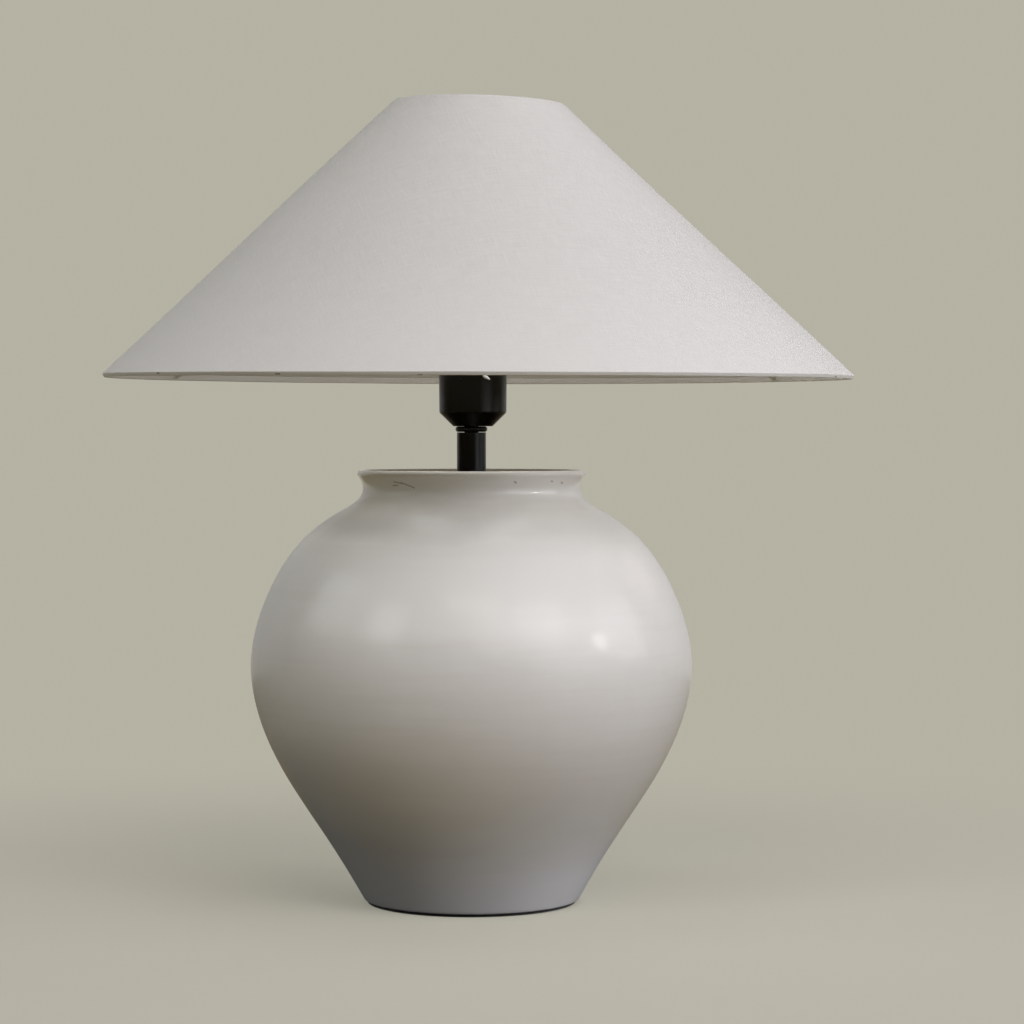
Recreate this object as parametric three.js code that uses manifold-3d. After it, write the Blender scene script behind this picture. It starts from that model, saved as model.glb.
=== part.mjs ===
// A table lamp: a glazed ceramic vase that carries a tube, a screw lampholder with its bulb, and a wide
// conical fabric shade on a three-armed wire spider.
// Millimetres, +Z up. The origin is on the surface that the lamp stands on, on the lamp's axis.
// The cord leaves the foot towards +Y, which is the back.

import * as THREE from "three";
import { mergeVertices } from "three/addons/utils/BufferGeometryUtils.js";
import Module from "manifold-3d";

const wasm = await Module();
wasm.setup();

// ---------------------------------------------------------------- driving dimensions

const GAP = 0.3; // left between pieces that touch

// Foot and vase
const FELT_THICKNESS = 1.5;
const FOOT_BOTTOM_Z = FELT_THICKNESS + GAP;
const FOOT_RADIUS = 70.3;
const FOOT_RECESS_RADIUS = 57;
const FLOOR_UNDERSIDE_Z = 14.5;
const FLOOR_TOP_Z = 24;
const FLOOR_HOLE_RADIUS = 5.8;
const LIP_TOP_Z = 288.8;
const CORD_HOLE_RADIUS = 4.5;
const CORD_HOLE_Z = 8.2;

// Stem
const ROD_RADIUS = 5;
const ROD_BORE_RADIUS = 3.5;
const ROD_BOTTOM_Z = 3.5;
const ROD_TOP_Z = 330;
const TUBE_RADIUS = 9.5;
const TUBE_WALL = 1.2;
const COLLAR_BOTTOM_Z = 314.2;
const BEAD_RADIUS = 10.2;
const WAIST_RADIUS = 9;

// Lampholder
const CUP_BOTTOM_Z = 318.3;
const CUP_CHAMFER_Z = 327.8;
const CUP_TOP_Z = 353;
const CUP_RADIUS = 22.4;
const CUP_BOTTOM_RADIUS = 13.9;
const CUP_WALL = 1.5;
const SHELL_RADIUS = 19.8;
const SHELL_WALL = 1.5;
const SHELL_BOTTOM_Z = 333;
const SHELL_TOP_Z = 382;
const BLOCK_BOTTOM_Z = 334;
const BLOCK_TOP_Z = 350;
const THREAD_SHELL_RADIUS = 14.4;
const THREAD_SHELL_WALL = 0.6;

// Rings that hold the shade
const RING_RADIUS = 28;
const RING_BORE_RADIUS = 20.3;
const LOWER_RING_HEIGHT = 4.6;
const UPPER_RING_HEIGHT = 6;

// Bulb
const CAP_RADIUS = 13.1;
const CAP_WALL = 0.5;
const CAP_BOTTOM_Z = 356.2;
const CAP_HEIGHT = 21;
const GLASS_RADIUS = 30;
const BULB_TIP_Z = 353.2;
const BULB_TOP_Z = 460;
const GLASS_WALL = 0.9;

// Shade
const WIRE_RADIUS = 1.5;
const BOTTOM_RING_RADIUS = 247;
const BOTTOM_RING_Z = 351.6;
const TOP_RING_RADIUS = 56.4;
const TOP_RING_Z = 530.4;
const FABRIC_THICKNESS = 0.8;
const LINER_THICKNESS = 0.6;
const ARM_COUNT = 3;
const FIRST_ARM_ANGLE = THREE.MathUtils.degToRad(-88.3);

// Roundness
const FINE = 48; // sides of the large turned shapes
const TOP_RING_SIDES = 36;
const MEDIUM = 24;
const SMALL = 16;

// ---------------------------------------------------------------- materials

function material(color, roughness, metalness = 0) {
  return new THREE.MeshStandardMaterial({ color, roughness, metalness });
}

const GLAZE = material(0xdcd9d6, 0.35);
const FELT = material(0x1d1c1a, 0.95);
const RUBBER = material(0x171615, 0.8);
const STEEL = material(0xa9a8a4, 0.35, 1);
const BLACK_PAINT = material(0x161513, 0.45);
const PORCELAIN = material(0xe9e5da, 0.4);
const BRASS = material(0xc3a25a, 0.3, 1);
const BLACK_RESIN = material(0x1a1918, 0.5);
const FROSTED_GLASS = material(0xf2efe8, 0.5);
const NICKEL = material(0xb8b5ae, 0.3, 1);
const DARK_GLASS = material(0x20201f, 0.2);
const WHITE_WIRE = material(0xe8e6e1, 0.5);
const LAMINATE = material(0xd9d5ca, 0.6);
const LINEN = material(0xdfdbd6, 0.9);

// ---------------------------------------------------------------- shape helpers

const lamp = new THREE.Group();
lamp.name = "table_lamp";

function add(name, geometry, finish, parent = lamp) {
  const mesh = new THREE.Mesh(geometry, finish);
  mesh.name = name;
  parent.add(mesh);
  return mesh;
}

// Turns a closed (radius, height) profile about Z. The profile runs up its outside and down its inside.
function turned(profile, sides = MEDIUM) {
  const points = profile.map(([radius, height]) => new THREE.Vector2(radius, height));
  points.push(points[0].clone());
  return new THREE.LatheGeometry(points, sides).rotateX(Math.PI / 2);
}

// A straight-walled ring.
function ring(outer, inner, bottom, top, sides = MEDIUM) {
  return turned([[inner, bottom], [outer, bottom], [outer, top], [inner, top]], sides);
}

// A solid turned piece: its profile starts and ends on the axis.
function turnedSolid(profile, sides = MEDIUM) {
  const points = profile.map(([radius, height]) => new THREE.Vector2(radius, height));
  return new THREE.LatheGeometry(points, sides).rotateX(Math.PI / 2);
}

// A solid cylinder along Z.
function rod(radius, bottom, top, sides = SMALL) {
  return turnedSolid([[0, bottom], [radius, bottom], [radius, top], [0, top]], sides);
}

// Points of an arc about a centre, in the (radius, height) plane, angles in degrees.
function arc(centre, radius, from, to, steps) {
  const points = [];
  for (let i = 0; i <= steps; i += 1) {
    const angle = THREE.MathUtils.degToRad(from + ((to - from) * i) / steps);
    points.push([centre[0] + radius * Math.cos(angle), centre[1] + radius * Math.sin(angle)]);
  }
  return points;
}

// Points along a smooth curve through the given (radius, height) points.
function smooth(points, steps) {
  const curve = new THREE.SplineCurve(points.map(([x, y]) => new THREE.Vector2(x, y)));
  return curve.getPoints(steps).map((point) => [point.x, point.y]);
}

function solidOf(geometry) {
  const bare = geometry.clone();
  bare.deleteAttribute("normal");
  bare.deleteAttribute("uv");
  const merged = mergeVertices(bare, 1e-3);
  return new wasm.Manifold(
    new wasm.Mesh({
      numProp: 3,
      vertProperties: merged.attributes.position.array,
      triVerts: new Uint32Array(merged.index.array),
    }),
  );
}

function geometryOf(solid) {
  const mesh = solid.getMesh();
  const geometry = new THREE.BufferGeometry();
  geometry.setAttribute("position", new THREE.BufferAttribute(mesh.vertProperties, 3));
  geometry.setIndex(new THREE.BufferAttribute(mesh.triVerts, 1));
  return geometry;
}

// The body with the tools' shapes cut away.
function cut(body, ...tools) {
  return geometryOf(tools.reduce((left, tool) => left.subtract(solidOf(tool)), solidOf(body)));
}

// A wire along a curve, with a round section.
function wire(curve, radius, steps) {
  const section = new THREE.Shape();
  section.absarc(0, 0, radius, 0, 2 * Math.PI);
  const options = { steps, extrudePath: curve, bevelEnabled: false, curveSegments: 4 };
  return new THREE.ExtrudeGeometry(section, options);
}

// ---------------------------------------------------------------- foot and vase

function buildVase() {
  const outside = smooth([
    [71.8, FOOT_BOTTOM_Z + 1], [74, 6.5], [80.3, 17.5], [93.8, 39], [114.8, 71], [133.3, 103.5],
    [144.2, 134], [147.2, 160], [138.8, 199], [124.6, 227], [113, 242], [93.4, 257.8], [76.2, 268.6],
    [72.5, 276], [74, 281], [76.2, 284.6],
  ], 20);
  const lip = smooth([[76.2, 285.6], [75, LIP_TOP_Z - 0.6], [72.6, LIP_TOP_Z], [70.2, 287.4]], 5);
  const inside = smooth([
    [68, 282], [66.6, 275], [72, 264.5], [91, 250.5], [110, 235.5], [119.5, 221.5], [132.8, 196],
    [140.6, 160], [137.8, 135], [126.5, 103.5], [108.5, 72], [88.5, 42], [80, 31], [72, FLOOR_TOP_Z],
  ], 12);
  const underside = [
    [FLOOR_HOLE_RADIUS, FLOOR_TOP_Z], [FLOOR_HOLE_RADIUS, FLOOR_UNDERSIDE_Z],
    [FOOT_RECESS_RADIUS - 1, FLOOR_UNDERSIDE_Z], [FOOT_RECESS_RADIUS, FLOOR_UNDERSIDE_Z - 1],
    [FOOT_RECESS_RADIUS + 1, FOOT_BOTTOM_Z], [FOOT_RADIUS, FOOT_BOTTOM_Z],
  ];
  const body = turned([...outside, ...lip, ...inside, ...underside], FINE);
  const clearance = 12; // how far the hole's cutter starts inside the foot ring and ends outside it
  const cordHole = rod(CORD_HOLE_RADIUS, FOOT_RECESS_RADIUS - clearance, FOOT_RADIUS + clearance)
    .rotateX(-Math.PI / 2)
    .translate(0, 0, CORD_HOLE_Z);
  add("ceramic_vase", cut(body, cordHole), GLAZE);
}

function buildFelt() {
  const margin = 0.6; // bare clay left at the foot ring's outer edge
  const innerRadius = FOOT_RECESS_RADIUS + 1.4;
  add("felt_pad", ring(FOOT_RADIUS - margin, innerRadius, 0, FELT_THICKNESS, FINE), FELT);
}

// A rubber bush lining the cord's hole: a head inside the foot ring and a rounded nose outside it.
function buildGrommet() {
  const bore = 3.2;
  const body = CORD_HOLE_RADIUS - GAP;
  const head = 5.6;
  const headThickness = 1.4;
  const innerFace = FOOT_RECESS_RADIUS - 2.2;
  const headBack = innerFace + headThickness;
  const nose = 80.2;
  const rounding = 1.2;
  const profile = [
    [bore, innerFace], [head, innerFace], [head, headBack], [body, headBack + 0.2],
    [body, nose - rounding], [body - rounding, nose], [bore, nose],
  ];
  const bush = turned(profile, SMALL).rotateX(-Math.PI / 2).translate(0, 0, CORD_HOLE_Z);
  add("cord_grommet", bush, RUBBER);
}

// ---------------------------------------------------------------- stem

function hexNut(acrossFlats, boreRadius, height) {
  const corner = acrossFlats / Math.sqrt(3);
  const outline = new THREE.Shape();
  for (let i = 0; i < 6; i += 1) {
    const angle = (i * Math.PI) / 3;
    outline[i ? "lineTo" : "moveTo"](corner * Math.cos(angle), corner * Math.sin(angle));
  }
  outline.closePath();
  const bore = new THREE.Path();
  bore.absarc(0, 0, boreRadius, 0, 2 * Math.PI);
  outline.holes.push(bore);
  return new THREE.ExtrudeGeometry(outline, { depth: height, bevelEnabled: false, curveSegments: 10 });
}

// The foot's washers and nut clamp the vase's floor against the plate that the tube stands on.
function buildStem() {
  const rodFit = ROD_RADIUS + GAP;
  add("threaded_rod", ring(ROD_RADIUS, ROD_BORE_RADIUS, ROD_BOTTOM_Z, ROD_TOP_Z, SMALL), STEEL);

  const washerRadius = 20;
  const washerTop = FLOOR_UNDERSIDE_Z - GAP;
  const washerBottom = washerTop - 2;
  const lockRadius = 9.2;
  const lockTop = washerBottom - GAP;
  const lockBottom = lockTop - 1.8;
  const nutAcrossFlats = 17;
  const nutHeight = 5;
  const nut = hexNut(nutAcrossFlats, rodFit, nutHeight).translate(0, 0, lockBottom - GAP - nutHeight);
  add("bottom_washer", ring(washerRadius, rodFit, washerBottom, washerTop), STEEL);
  add("bottom_lock_washer", ring(lockRadius, rodFit, lockBottom, lockTop, SMALL), STEEL);
  add("bottom_nut", nut, STEEL);

  const gasketRadius = 32;
  const gasketBottom = FLOOR_TOP_Z + GAP;
  const gasketTop = gasketBottom + 2;
  const plateRadius = 30;
  const plateBottom = gasketTop + GAP;
  const plateTop = plateBottom + 2.5;
  const tubeBottom = plateTop + GAP;
  const tubeTop = COLLAR_BOTTOM_Z - GAP;
  add("inner_gasket", ring(gasketRadius, rodFit, gasketBottom, gasketTop), RUBBER);
  add("inner_washer", ring(plateRadius, rodFit, plateBottom, plateTop), STEEL);
  add("sleeve_tube", ring(TUBE_RADIUS, TUBE_RADIUS - TUBE_WALL, tubeBottom, tubeTop), BLACK_PAINT);
}

// The turned neck: a rounded bead, then a thin waist up to the lampholder.
function buildCollar() {
  const bore = ROD_RADIUS + GAP;
  const beadHeight = 3;
  const beadCentre = [BEAD_RADIUS - beadHeight / 2, COLLAR_BOTTOM_Z + beadHeight / 2];
  const waistTop = CUP_BOTTOM_Z - GAP;
  const profile = [
    [bore, COLLAR_BOTTOM_Z],
    ...arc(beadCentre, beadHeight / 2, -90, 90, 6),
    [WAIST_RADIUS, COLLAR_BOTTOM_Z + beadHeight],
    [WAIST_RADIUS, waistTop],
    [bore, waistTop],
  ];
  add("collar", turned(profile), BLACK_PAINT);
}

// ---------------------------------------------------------------- lampholder

// The boss stands up inside the cup round the rod, and a screw through its side locks it there.
function buildCup() {
  const bore = ROD_RADIUS + GAP;
  const bossRadius = 8;
  const bossTop = 331.5;
  const inside = CUP_RADIUS - CUP_WALL;
  const floorTop = CUP_BOTTOM_Z + 2;
  const profile = [
    [bore, CUP_BOTTOM_Z], [CUP_BOTTOM_RADIUS - 0.8, CUP_BOTTOM_Z],
    [CUP_BOTTOM_RADIUS, CUP_BOTTOM_Z + 0.5], [CUP_RADIUS - 0.5, CUP_CHAMFER_Z - 0.7],
    [CUP_RADIUS, CUP_CHAMFER_Z + 0.6], [CUP_RADIUS, CUP_TOP_Z], [inside, CUP_TOP_Z],
    [inside, CUP_CHAMFER_Z + 0.8], [CUP_BOTTOM_RADIUS - 0.6, floorTop], [bossRadius, floorTop],
    [bossRadius, bossTop], [bore, bossTop],
  ];
  const screwRadius = 1.5;
  const screwZ = 326;
  const screwSides = 12;
  const across = (radius, start, end) =>
    rod(radius, start, end, screwSides).rotateX(-Math.PI / 2).translate(0, 0, screwZ);
  const hole = across(screwRadius + GAP, ROD_RADIUS - 1, bossRadius + 1);
  add("holder_cup", cut(turned(profile), hole), BLACK_PAINT);
  add("lock_screw", across(screwRadius, bore, bossRadius + 2), STEEL);
}

// The insulator carries two wire terminals and an earth terminal, each with its screw across X.
function buildTerminals() {
  const blockRadius = SHELL_RADIUS - SHELL_WALL - GAP;
  const edge = 1.5;
  const block = turnedSolid([
    [0, BLOCK_BOTTOM_Z], [blockRadius - edge, BLOCK_BOTTOM_Z], [blockRadius, BLOCK_BOTTOM_Z + edge],
    [blockRadius, BLOCK_TOP_Z], [0, BLOCK_TOP_Z],
  ]);
  const terminals = [
    ["terminal_screw_live", 90, BRASS],
    ["terminal_screw_neutral", 210, BRASS],
    ["earth_screw", 330, STEEL],
  ];
  const circleRadius = 11;
  const screwRadius = 2;
  const headRadius = 3;
  const screwSides = 12;
  const headBottom = BLOCK_BOTTOM_Z + 1.2;
  const seat = BLOCK_BOTTOM_Z + 5;
  const screwTop = seat + 5.4;
  const holes = [];
  for (const [name, degrees, finish] of terminals) {
    const angle = THREE.MathUtils.degToRad(degrees);
    const place = [circleRadius * Math.cos(angle), circleRadius * Math.sin(angle), 0];
    holes.push(rod(headRadius + GAP, BLOCK_BOTTOM_Z - 1, seat, screwSides).translate(...place));
    holes.push(rod(screwRadius + GAP, seat - 1, screwTop + 0.6, screwSides).translate(...place));
    const screw = turnedSolid([
      [0, headBottom], [headRadius, headBottom], [headRadius, seat - GAP],
      [screwRadius, seat - GAP], [screwRadius, screwTop], [0, screwTop],
    ], screwSides);
    add(name, screw.translate(...place), finish);
  }
  add("terminal_block", cut(block, ...holes), PORCELAIN);
}

// A springy leaf: a flat foot on the insulator and a raised tongue under the bulb's tip.
function buildCentreContact() {
  const thickness = 0.5;
  const width = 6;
  const base = BLOCK_TOP_Z + GAP;
  const rise = BULB_TIP_Z - GAP - thickness;
  const footEnd = -9;
  const bend = -3.2;
  const tongueStart = 0.5;
  const tongueEnd = 3.4;
  const lean = 0.3; // the upper face's bends sit back by this much, so the slope keeps its thickness
  const outline = new THREE.Shape([
    new THREE.Vector2(footEnd, base),
    new THREE.Vector2(bend, base),
    new THREE.Vector2(tongueStart, rise),
    new THREE.Vector2(tongueEnd, rise),
    new THREE.Vector2(tongueEnd, rise + thickness),
    new THREE.Vector2(tongueStart - lean, rise + thickness),
    new THREE.Vector2(bend - lean, base + thickness),
    new THREE.Vector2(footEnd, base + thickness),
  ]);
  const leaf = new THREE.ExtrudeGeometry(outline, { depth: width, bevelEnabled: false });
  add("centre_contact", leaf.rotateX(Math.PI / 2).translate(0, width / 2, 0), BRASS);
}

function buildHolderShell() {
  const threadInner = THREAD_SHELL_RADIUS - THREAD_SHELL_WALL;
  const threadTop = SHELL_TOP_Z - 3.5;
  add("thread_shell", ring(THREAD_SHELL_RADIUS, threadInner, BLOCK_TOP_Z + GAP, threadTop), BRASS);

  // The outer shell's mouth turns in over the screw shell, leaving room for the bulb's cap.
  const inside = SHELL_RADIUS - SHELL_WALL;
  const edge = 0.8;
  const mouth = THREAD_SHELL_RADIUS + 0.2;
  const mouthBottom = SHELL_TOP_Z - 2.5;
  const profile = [
    [inside, SHELL_BOTTOM_Z], [SHELL_RADIUS, SHELL_BOTTOM_Z], [SHELL_RADIUS, SHELL_TOP_Z - edge],
    [SHELL_RADIUS - edge, SHELL_TOP_Z], [mouth, SHELL_TOP_Z], [mouth, mouthBottom],
    [inside, mouthBottom],
  ];
  add("holder_shell", turned(profile), BLACK_RESIN);
}

// ---------------------------------------------------------------- shade rings and spider

const LOWER_RING_Z = CUP_TOP_Z + GAP;
const HUB_Z = LOWER_RING_Z + LOWER_RING_HEIGHT + GAP;
const HUB_THICKNESS = 2;
const UPPER_RING_Z = HUB_Z + HUB_THICKNESS + GAP;
const HUB_RADIUS = 29;
const HUB_BORE_RADIUS = 20.9;

function buildShadeRings() {
  const lowerTop = LOWER_RING_Z + LOWER_RING_HEIGHT;
  const bevelRadius = 23.5;
  const bevelTop = LOWER_RING_Z + 2.6;
  add("shade_ring_lower", turned([
    [RING_BORE_RADIUS, LOWER_RING_Z], [bevelRadius, LOWER_RING_Z], [RING_RADIUS, bevelTop],
    [RING_RADIUS, lowerTop], [RING_BORE_RADIUS, lowerTop],
  ]), BLACK_RESIN);

  // The upper ring has a flange on the hub and a ribbed grip above it.
  const flangeTop = UPPER_RING_Z + 2.2;
  const overlap = 0.5; // the grip starts this far inside the flange, so the two join
  const gripRadius = 24;
  const ribHeight = 0.9;
  const ribs = 24;
  const outline = new THREE.Shape();
  for (let i = 0; i < 2 * ribs; i += 1) {
    const angle = (i * Math.PI) / ribs;
    const radius = i % 2 ? gripRadius : gripRadius + ribHeight;
    outline[i ? "lineTo" : "moveTo"](radius * Math.cos(angle), radius * Math.sin(angle));
  }
  outline.closePath();
  const bore = new THREE.Path();
  bore.absarc(0, 0, RING_BORE_RADIUS, 0, 2 * Math.PI);
  outline.holes.push(bore);
  const depth = UPPER_RING_Z + UPPER_RING_HEIGHT - flangeTop + overlap;
  const grip = new THREE.ExtrudeGeometry(outline, {
    depth, bevelEnabled: false, curveSegments: MEDIUM / 2,
  }).translate(0, 0, flangeTop - overlap);
  const flange = ring(RING_RADIUS, RING_BORE_RADIUS, UPPER_RING_Z, flangeTop);
  add("shade_ring_upper", geometryOf(solidOf(flange).add(solidOf(grip))), BLACK_RESIN);
}

// The frame's two wire rings and the hub, with arms that slope down from the hub to the bottom ring.
function buildSpider() {
  add("spider_hub", ring(HUB_RADIUS, HUB_BORE_RADIUS, HUB_Z, HUB_Z + HUB_THICKNESS), WHITE_WIRE);
  const wireSides = 6;
  const bottomRing = new THREE.TorusGeometry(BOTTOM_RING_RADIUS, WIRE_RADIUS, wireSides, FINE);
  const topRing = new THREE.TorusGeometry(TOP_RING_RADIUS, WIRE_RADIUS, wireSides, TOP_RING_SIDES);
  add("bottom_ring", bottomRing.translate(0, 0, BOTTOM_RING_Z), WHITE_WIRE);
  add("top_ring", topRing.translate(0, 0, TOP_RING_Z), WHITE_WIRE);

  const hubHeight = HUB_Z + HUB_THICKNESS / 2;
  const start = HUB_RADIUS + GAP;
  const levelEnd = start + 14;
  const bendEnd = start + 34;
  const bendDrop = 1.6;
  const ringFlats = 0.6; // how far the ring's flats come in from its round line
  const end = BOTTOM_RING_RADIUS - WIRE_RADIUS - ringFlats - GAP;
  const endHeight = BOTTOM_RING_Z + 0.2;
  for (let i = 0; i < ARM_COUNT; i += 1) {
    const path = new THREE.CatmullRomCurve3([
      new THREE.Vector3(start, 0, hubHeight),
      new THREE.Vector3(levelEnd, 0, hubHeight),
      new THREE.Vector3(bendEnd, 0, hubHeight - bendDrop),
      new THREE.Vector3(end, 0, endHeight),
    ]);
    const arm = add(`spider_arm_${i + 1}`, wire(path, WIRE_RADIUS, 10), WHITE_WIRE);
    arm.rotation.z = FIRST_ARM_ANGLE + (i * 2 * Math.PI) / ARM_COUNT;
  }
}

// ---------------------------------------------------------------- shade

// The cone's line runs from the bottom ring's centre to the top ring's centre, and every layer is
// offset from it, square to it and outwards.
const SLOPE = new THREE.Vector2(
  TOP_RING_RADIUS - BOTTOM_RING_RADIUS,
  TOP_RING_Z - BOTTOM_RING_Z,
).normalize();
const SLOPE_NORMAL_DEGREES = THREE.MathUtils.radToDeg(Math.atan2(-SLOPE.x, SLOPE.y));

function onCone(centreRadius, centreHeight, along, offset) {
  return [
    centreRadius + SLOPE.x * along + SLOPE.y * offset,
    centreHeight + SLOPE.y * along - SLOPE.x * offset,
  ];
}

function buildLiner() {
  const outer = WIRE_RADIUS;
  const inner = outer - LINER_THICKNESS;
  const clear = 3.4; // the liner stops this far from each wire's centre
  add("shade_liner", turned([
    onCone(BOTTOM_RING_RADIUS, BOTTOM_RING_Z, clear, inner),
    onCone(BOTTOM_RING_RADIUS, BOTTOM_RING_Z, clear, outer),
    onCone(TOP_RING_RADIUS, TOP_RING_Z, -clear, outer),
    onCone(TOP_RING_RADIUS, TOP_RING_Z, -clear, inner),
  ], FINE), LAMINATE);
}

// The cover is rolled round both wire rings, so its edge is a round hem at the top and the bottom.
function buildFabric() {
  const inner = WIRE_RADIUS + GAP;
  const outer = inner + FABRIC_THICKNESS;
  const bottom = [BOTTOM_RING_RADIUS, BOTTOM_RING_Z];
  const top = [TOP_RING_RADIUS, TOP_RING_Z];
  const bottomTurn = 165; // stops short of the arms' ends
  const topTurn = 200;
  const face = SLOPE_NORMAL_DEGREES;
  add("shade_fabric", turned([
    ...arc(bottom, outer, face - bottomTurn, face, 6),
    ...arc(top, outer, face, face + topTurn, 6),
    ...arc(top, inner, face + topTurn, face, 5),
    ...arc(bottom, inner, face, face - bottomTurn, 5),
  ], FINE), LINEN);
}

// ---------------------------------------------------------------- bulb

function buildBulb() {
  const tipTop = BULB_TIP_Z + 1.4;
  add("bulb_tip", turnedSolid([
    [0, BULB_TIP_Z], [3, BULB_TIP_Z], [4.6, BULB_TIP_Z + 0.9], [4.6, tipTop], [0, tipTop],
  ], SMALL), NICKEL);

  const insulatorBottom = tipTop + GAP;
  const insulatorTop = CAP_BOTTOM_Z - GAP;
  add("bulb_insulator", turnedSolid([
    [0, insulatorBottom], [6, insulatorBottom], [11, insulatorTop], [0, insulatorTop],
  ], SMALL), DARK_GLASS);

  const capTop = CAP_BOTTOM_Z + CAP_HEIGHT;
  const capInside = CAP_RADIUS - CAP_WALL;
  add("bulb_cap", turned([
    [10.4, CAP_BOTTOM_Z], [11.2, CAP_BOTTOM_Z], [CAP_RADIUS, CAP_BOTTOM_Z + 2.4],
    [CAP_RADIUS, capTop], [capInside, capTop], [capInside, CAP_BOTTOM_Z + 2.6],
  ]), NICKEL);

  // The envelope is open at its neck, which sits inside the cap.
  const neck = capInside - GAP;
  const neckBottom = capTop - 5;
  const centre = BULB_TOP_Z - GLASS_RADIUS;
  const outside = smooth([
    [neck, neckBottom], [neck, capTop + 1], [15.5, capTop + 8], [24.5, capTop + 26],
    [GLASS_RADIUS - 1.2, centre - 8],
  ], 8);
  const crown = arc([0, centre], GLASS_RADIUS, 0, 84, 6);
  const innerCrown = arc([0, centre], GLASS_RADIUS - GLASS_WALL, 84, 0, 6);
  const innerWall = outside.map(([radius, height]) => [radius - GLASS_WALL, height]).reverse();
  const outer = [...outside, ...crown, [0, BULB_TOP_Z]];
  const inner = [[0, BULB_TOP_Z - GLASS_WALL], ...innerCrown, ...innerWall];
  add("bulb_glass", turned([...outer, ...inner]), FROSTED_GLASS);
}

buildVase();
buildFelt();
buildGrommet();
buildStem();
buildCollar();
buildCup();
buildTerminals();
buildCentreContact();
buildHolderShell();
buildShadeRings();
buildSpider();
buildLiner();
buildFabric();
buildBulb();

export default lamp;
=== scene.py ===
"""The looks of a table lamp: a satin white vase, a black tube and lampholder, and a white cloth shade.

Objects are in metres, in the CAD frame: +Z up, the front towards -Y, the origin under the vase's foot.
Outlines are lists of (radius, height) in millimetres, turned about the lamp's axis.
"""

import math

import bmesh
import bpy
import numpy as np
from mathutils import Matrix, Vector, noise


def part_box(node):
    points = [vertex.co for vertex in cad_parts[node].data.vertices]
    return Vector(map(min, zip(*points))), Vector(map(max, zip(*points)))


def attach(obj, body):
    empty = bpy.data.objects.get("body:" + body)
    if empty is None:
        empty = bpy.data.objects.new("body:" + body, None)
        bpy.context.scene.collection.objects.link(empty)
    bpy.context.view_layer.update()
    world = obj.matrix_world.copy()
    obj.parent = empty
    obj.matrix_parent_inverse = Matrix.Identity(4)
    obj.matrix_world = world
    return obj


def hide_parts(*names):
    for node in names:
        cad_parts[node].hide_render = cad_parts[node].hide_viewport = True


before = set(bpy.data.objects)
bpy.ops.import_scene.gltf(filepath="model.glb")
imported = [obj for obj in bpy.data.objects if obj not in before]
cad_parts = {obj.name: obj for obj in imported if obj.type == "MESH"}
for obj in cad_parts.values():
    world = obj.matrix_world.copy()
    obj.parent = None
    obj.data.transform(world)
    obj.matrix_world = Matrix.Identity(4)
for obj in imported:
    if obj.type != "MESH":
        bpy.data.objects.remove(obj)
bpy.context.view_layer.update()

MM = 0.001


# ------------------------------------------------------------------ camera

CAMERA_DISTANCE = 2.005
CAMERA_HEIGHT = 0.3155
CAMERA_PITCH = math.radians(-1.566)
CAMERA_YAW = math.radians(-0.774)
CAMERA_LENS = 105.5


def added(name, data):
    """A new object in the scene, with the given data."""
    made = bpy.data.objects.new(name, data)
    bpy.context.scene.collection.objects.link(made)
    return made


def make_camera():
    data = bpy.data.cameras.new("camera")
    data.lens = CAMERA_LENS
    data.sensor_width = 36
    data.clip_start = 0.05
    data.clip_end = 60
    camera = added("camera", data)
    camera.location = (0, -CAMERA_DISTANCE, CAMERA_HEIGHT)
    camera.rotation_euler = (math.pi / 2 + CAMERA_PITCH, 0, CAMERA_YAW)
    bpy.context.scene.camera = camera


# ------------------------------------------------------------------ outlines


def natural_spline(points, count):
    """count + 1 points along a smooth curve through the given points."""
    p = np.array(points, float)
    steps = np.linalg.norm(np.diff(p, axis=0), axis=1)
    t = np.concatenate([[0], np.cumsum(steps)])
    n = len(p)
    a = np.zeros((n, n))
    b = np.zeros((n, 2))
    a[0, 0] = a[-1, -1] = 1
    for i in range(1, n - 1):
        before, after = steps[i - 1], steps[i]
        a[i, i - 1 : i + 2] = before, 2 * (before + after), after
        b[i] = 6 * ((p[i + 1] - p[i]) / after - (p[i] - p[i - 1]) / before)
    second = np.linalg.solve(a, b)
    made = []
    for s in np.linspace(0, t[-1], count + 1):
        i = min(int(np.searchsorted(t, s, side="right")) - 1, n - 2)
        h, u, v = steps[i], t[i + 1] - s, s - t[i]
        made.append(
            (second[i] * u**3 + second[i + 1] * v**3) / (6 * h)
            + (p[i] / h - second[i] * h / 6) * u
            + (p[i + 1] / h - second[i + 1] * h / 6) * v
        )
    return [tuple(q) for q in made]


def arc(centre, radius, start, end, steps):
    """Points of an arc in the (radius, height) plane, angles in degrees."""
    angles = [math.radians(start + (end - start) * i / steps) for i in range(steps + 1)]
    return [
        (centre[0] + radius * math.cos(a), centre[1] + radius * math.sin(a))
        for a in angles
    ]


def rounded(corners, radius, steps=4):
    """A closed outline with every corner rounded; a corner may bring its own radius as a third value."""
    made = []
    n = len(corners)
    for i, corner in enumerate(corners):
        r = corner[2] if len(corner) > 2 else radius
        here = Vector(corner[:2])
        before = Vector(corners[i - 1][:2]) - here
        after = Vector(corners[(i + 1) % n][:2]) - here
        if r <= 0 or before.length < 1e-6 or after.length < 1e-6:
            made.append(tuple(here))
            continue
        half = before.angle(after) / 2
        taken = min(r / math.tan(half), before.length * 0.49, after.length * 0.49)
        start = here + before.normalized() * taken
        end = here + after.normalized() * taken
        for k in range(steps + 1):
            f = k / steps
            made.append(tuple(start * (1 - f) ** 2 + here * 2 * f * (1 - f) + end * f * f))
    return made


# ------------------------------------------------------------------ mesh helpers


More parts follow.
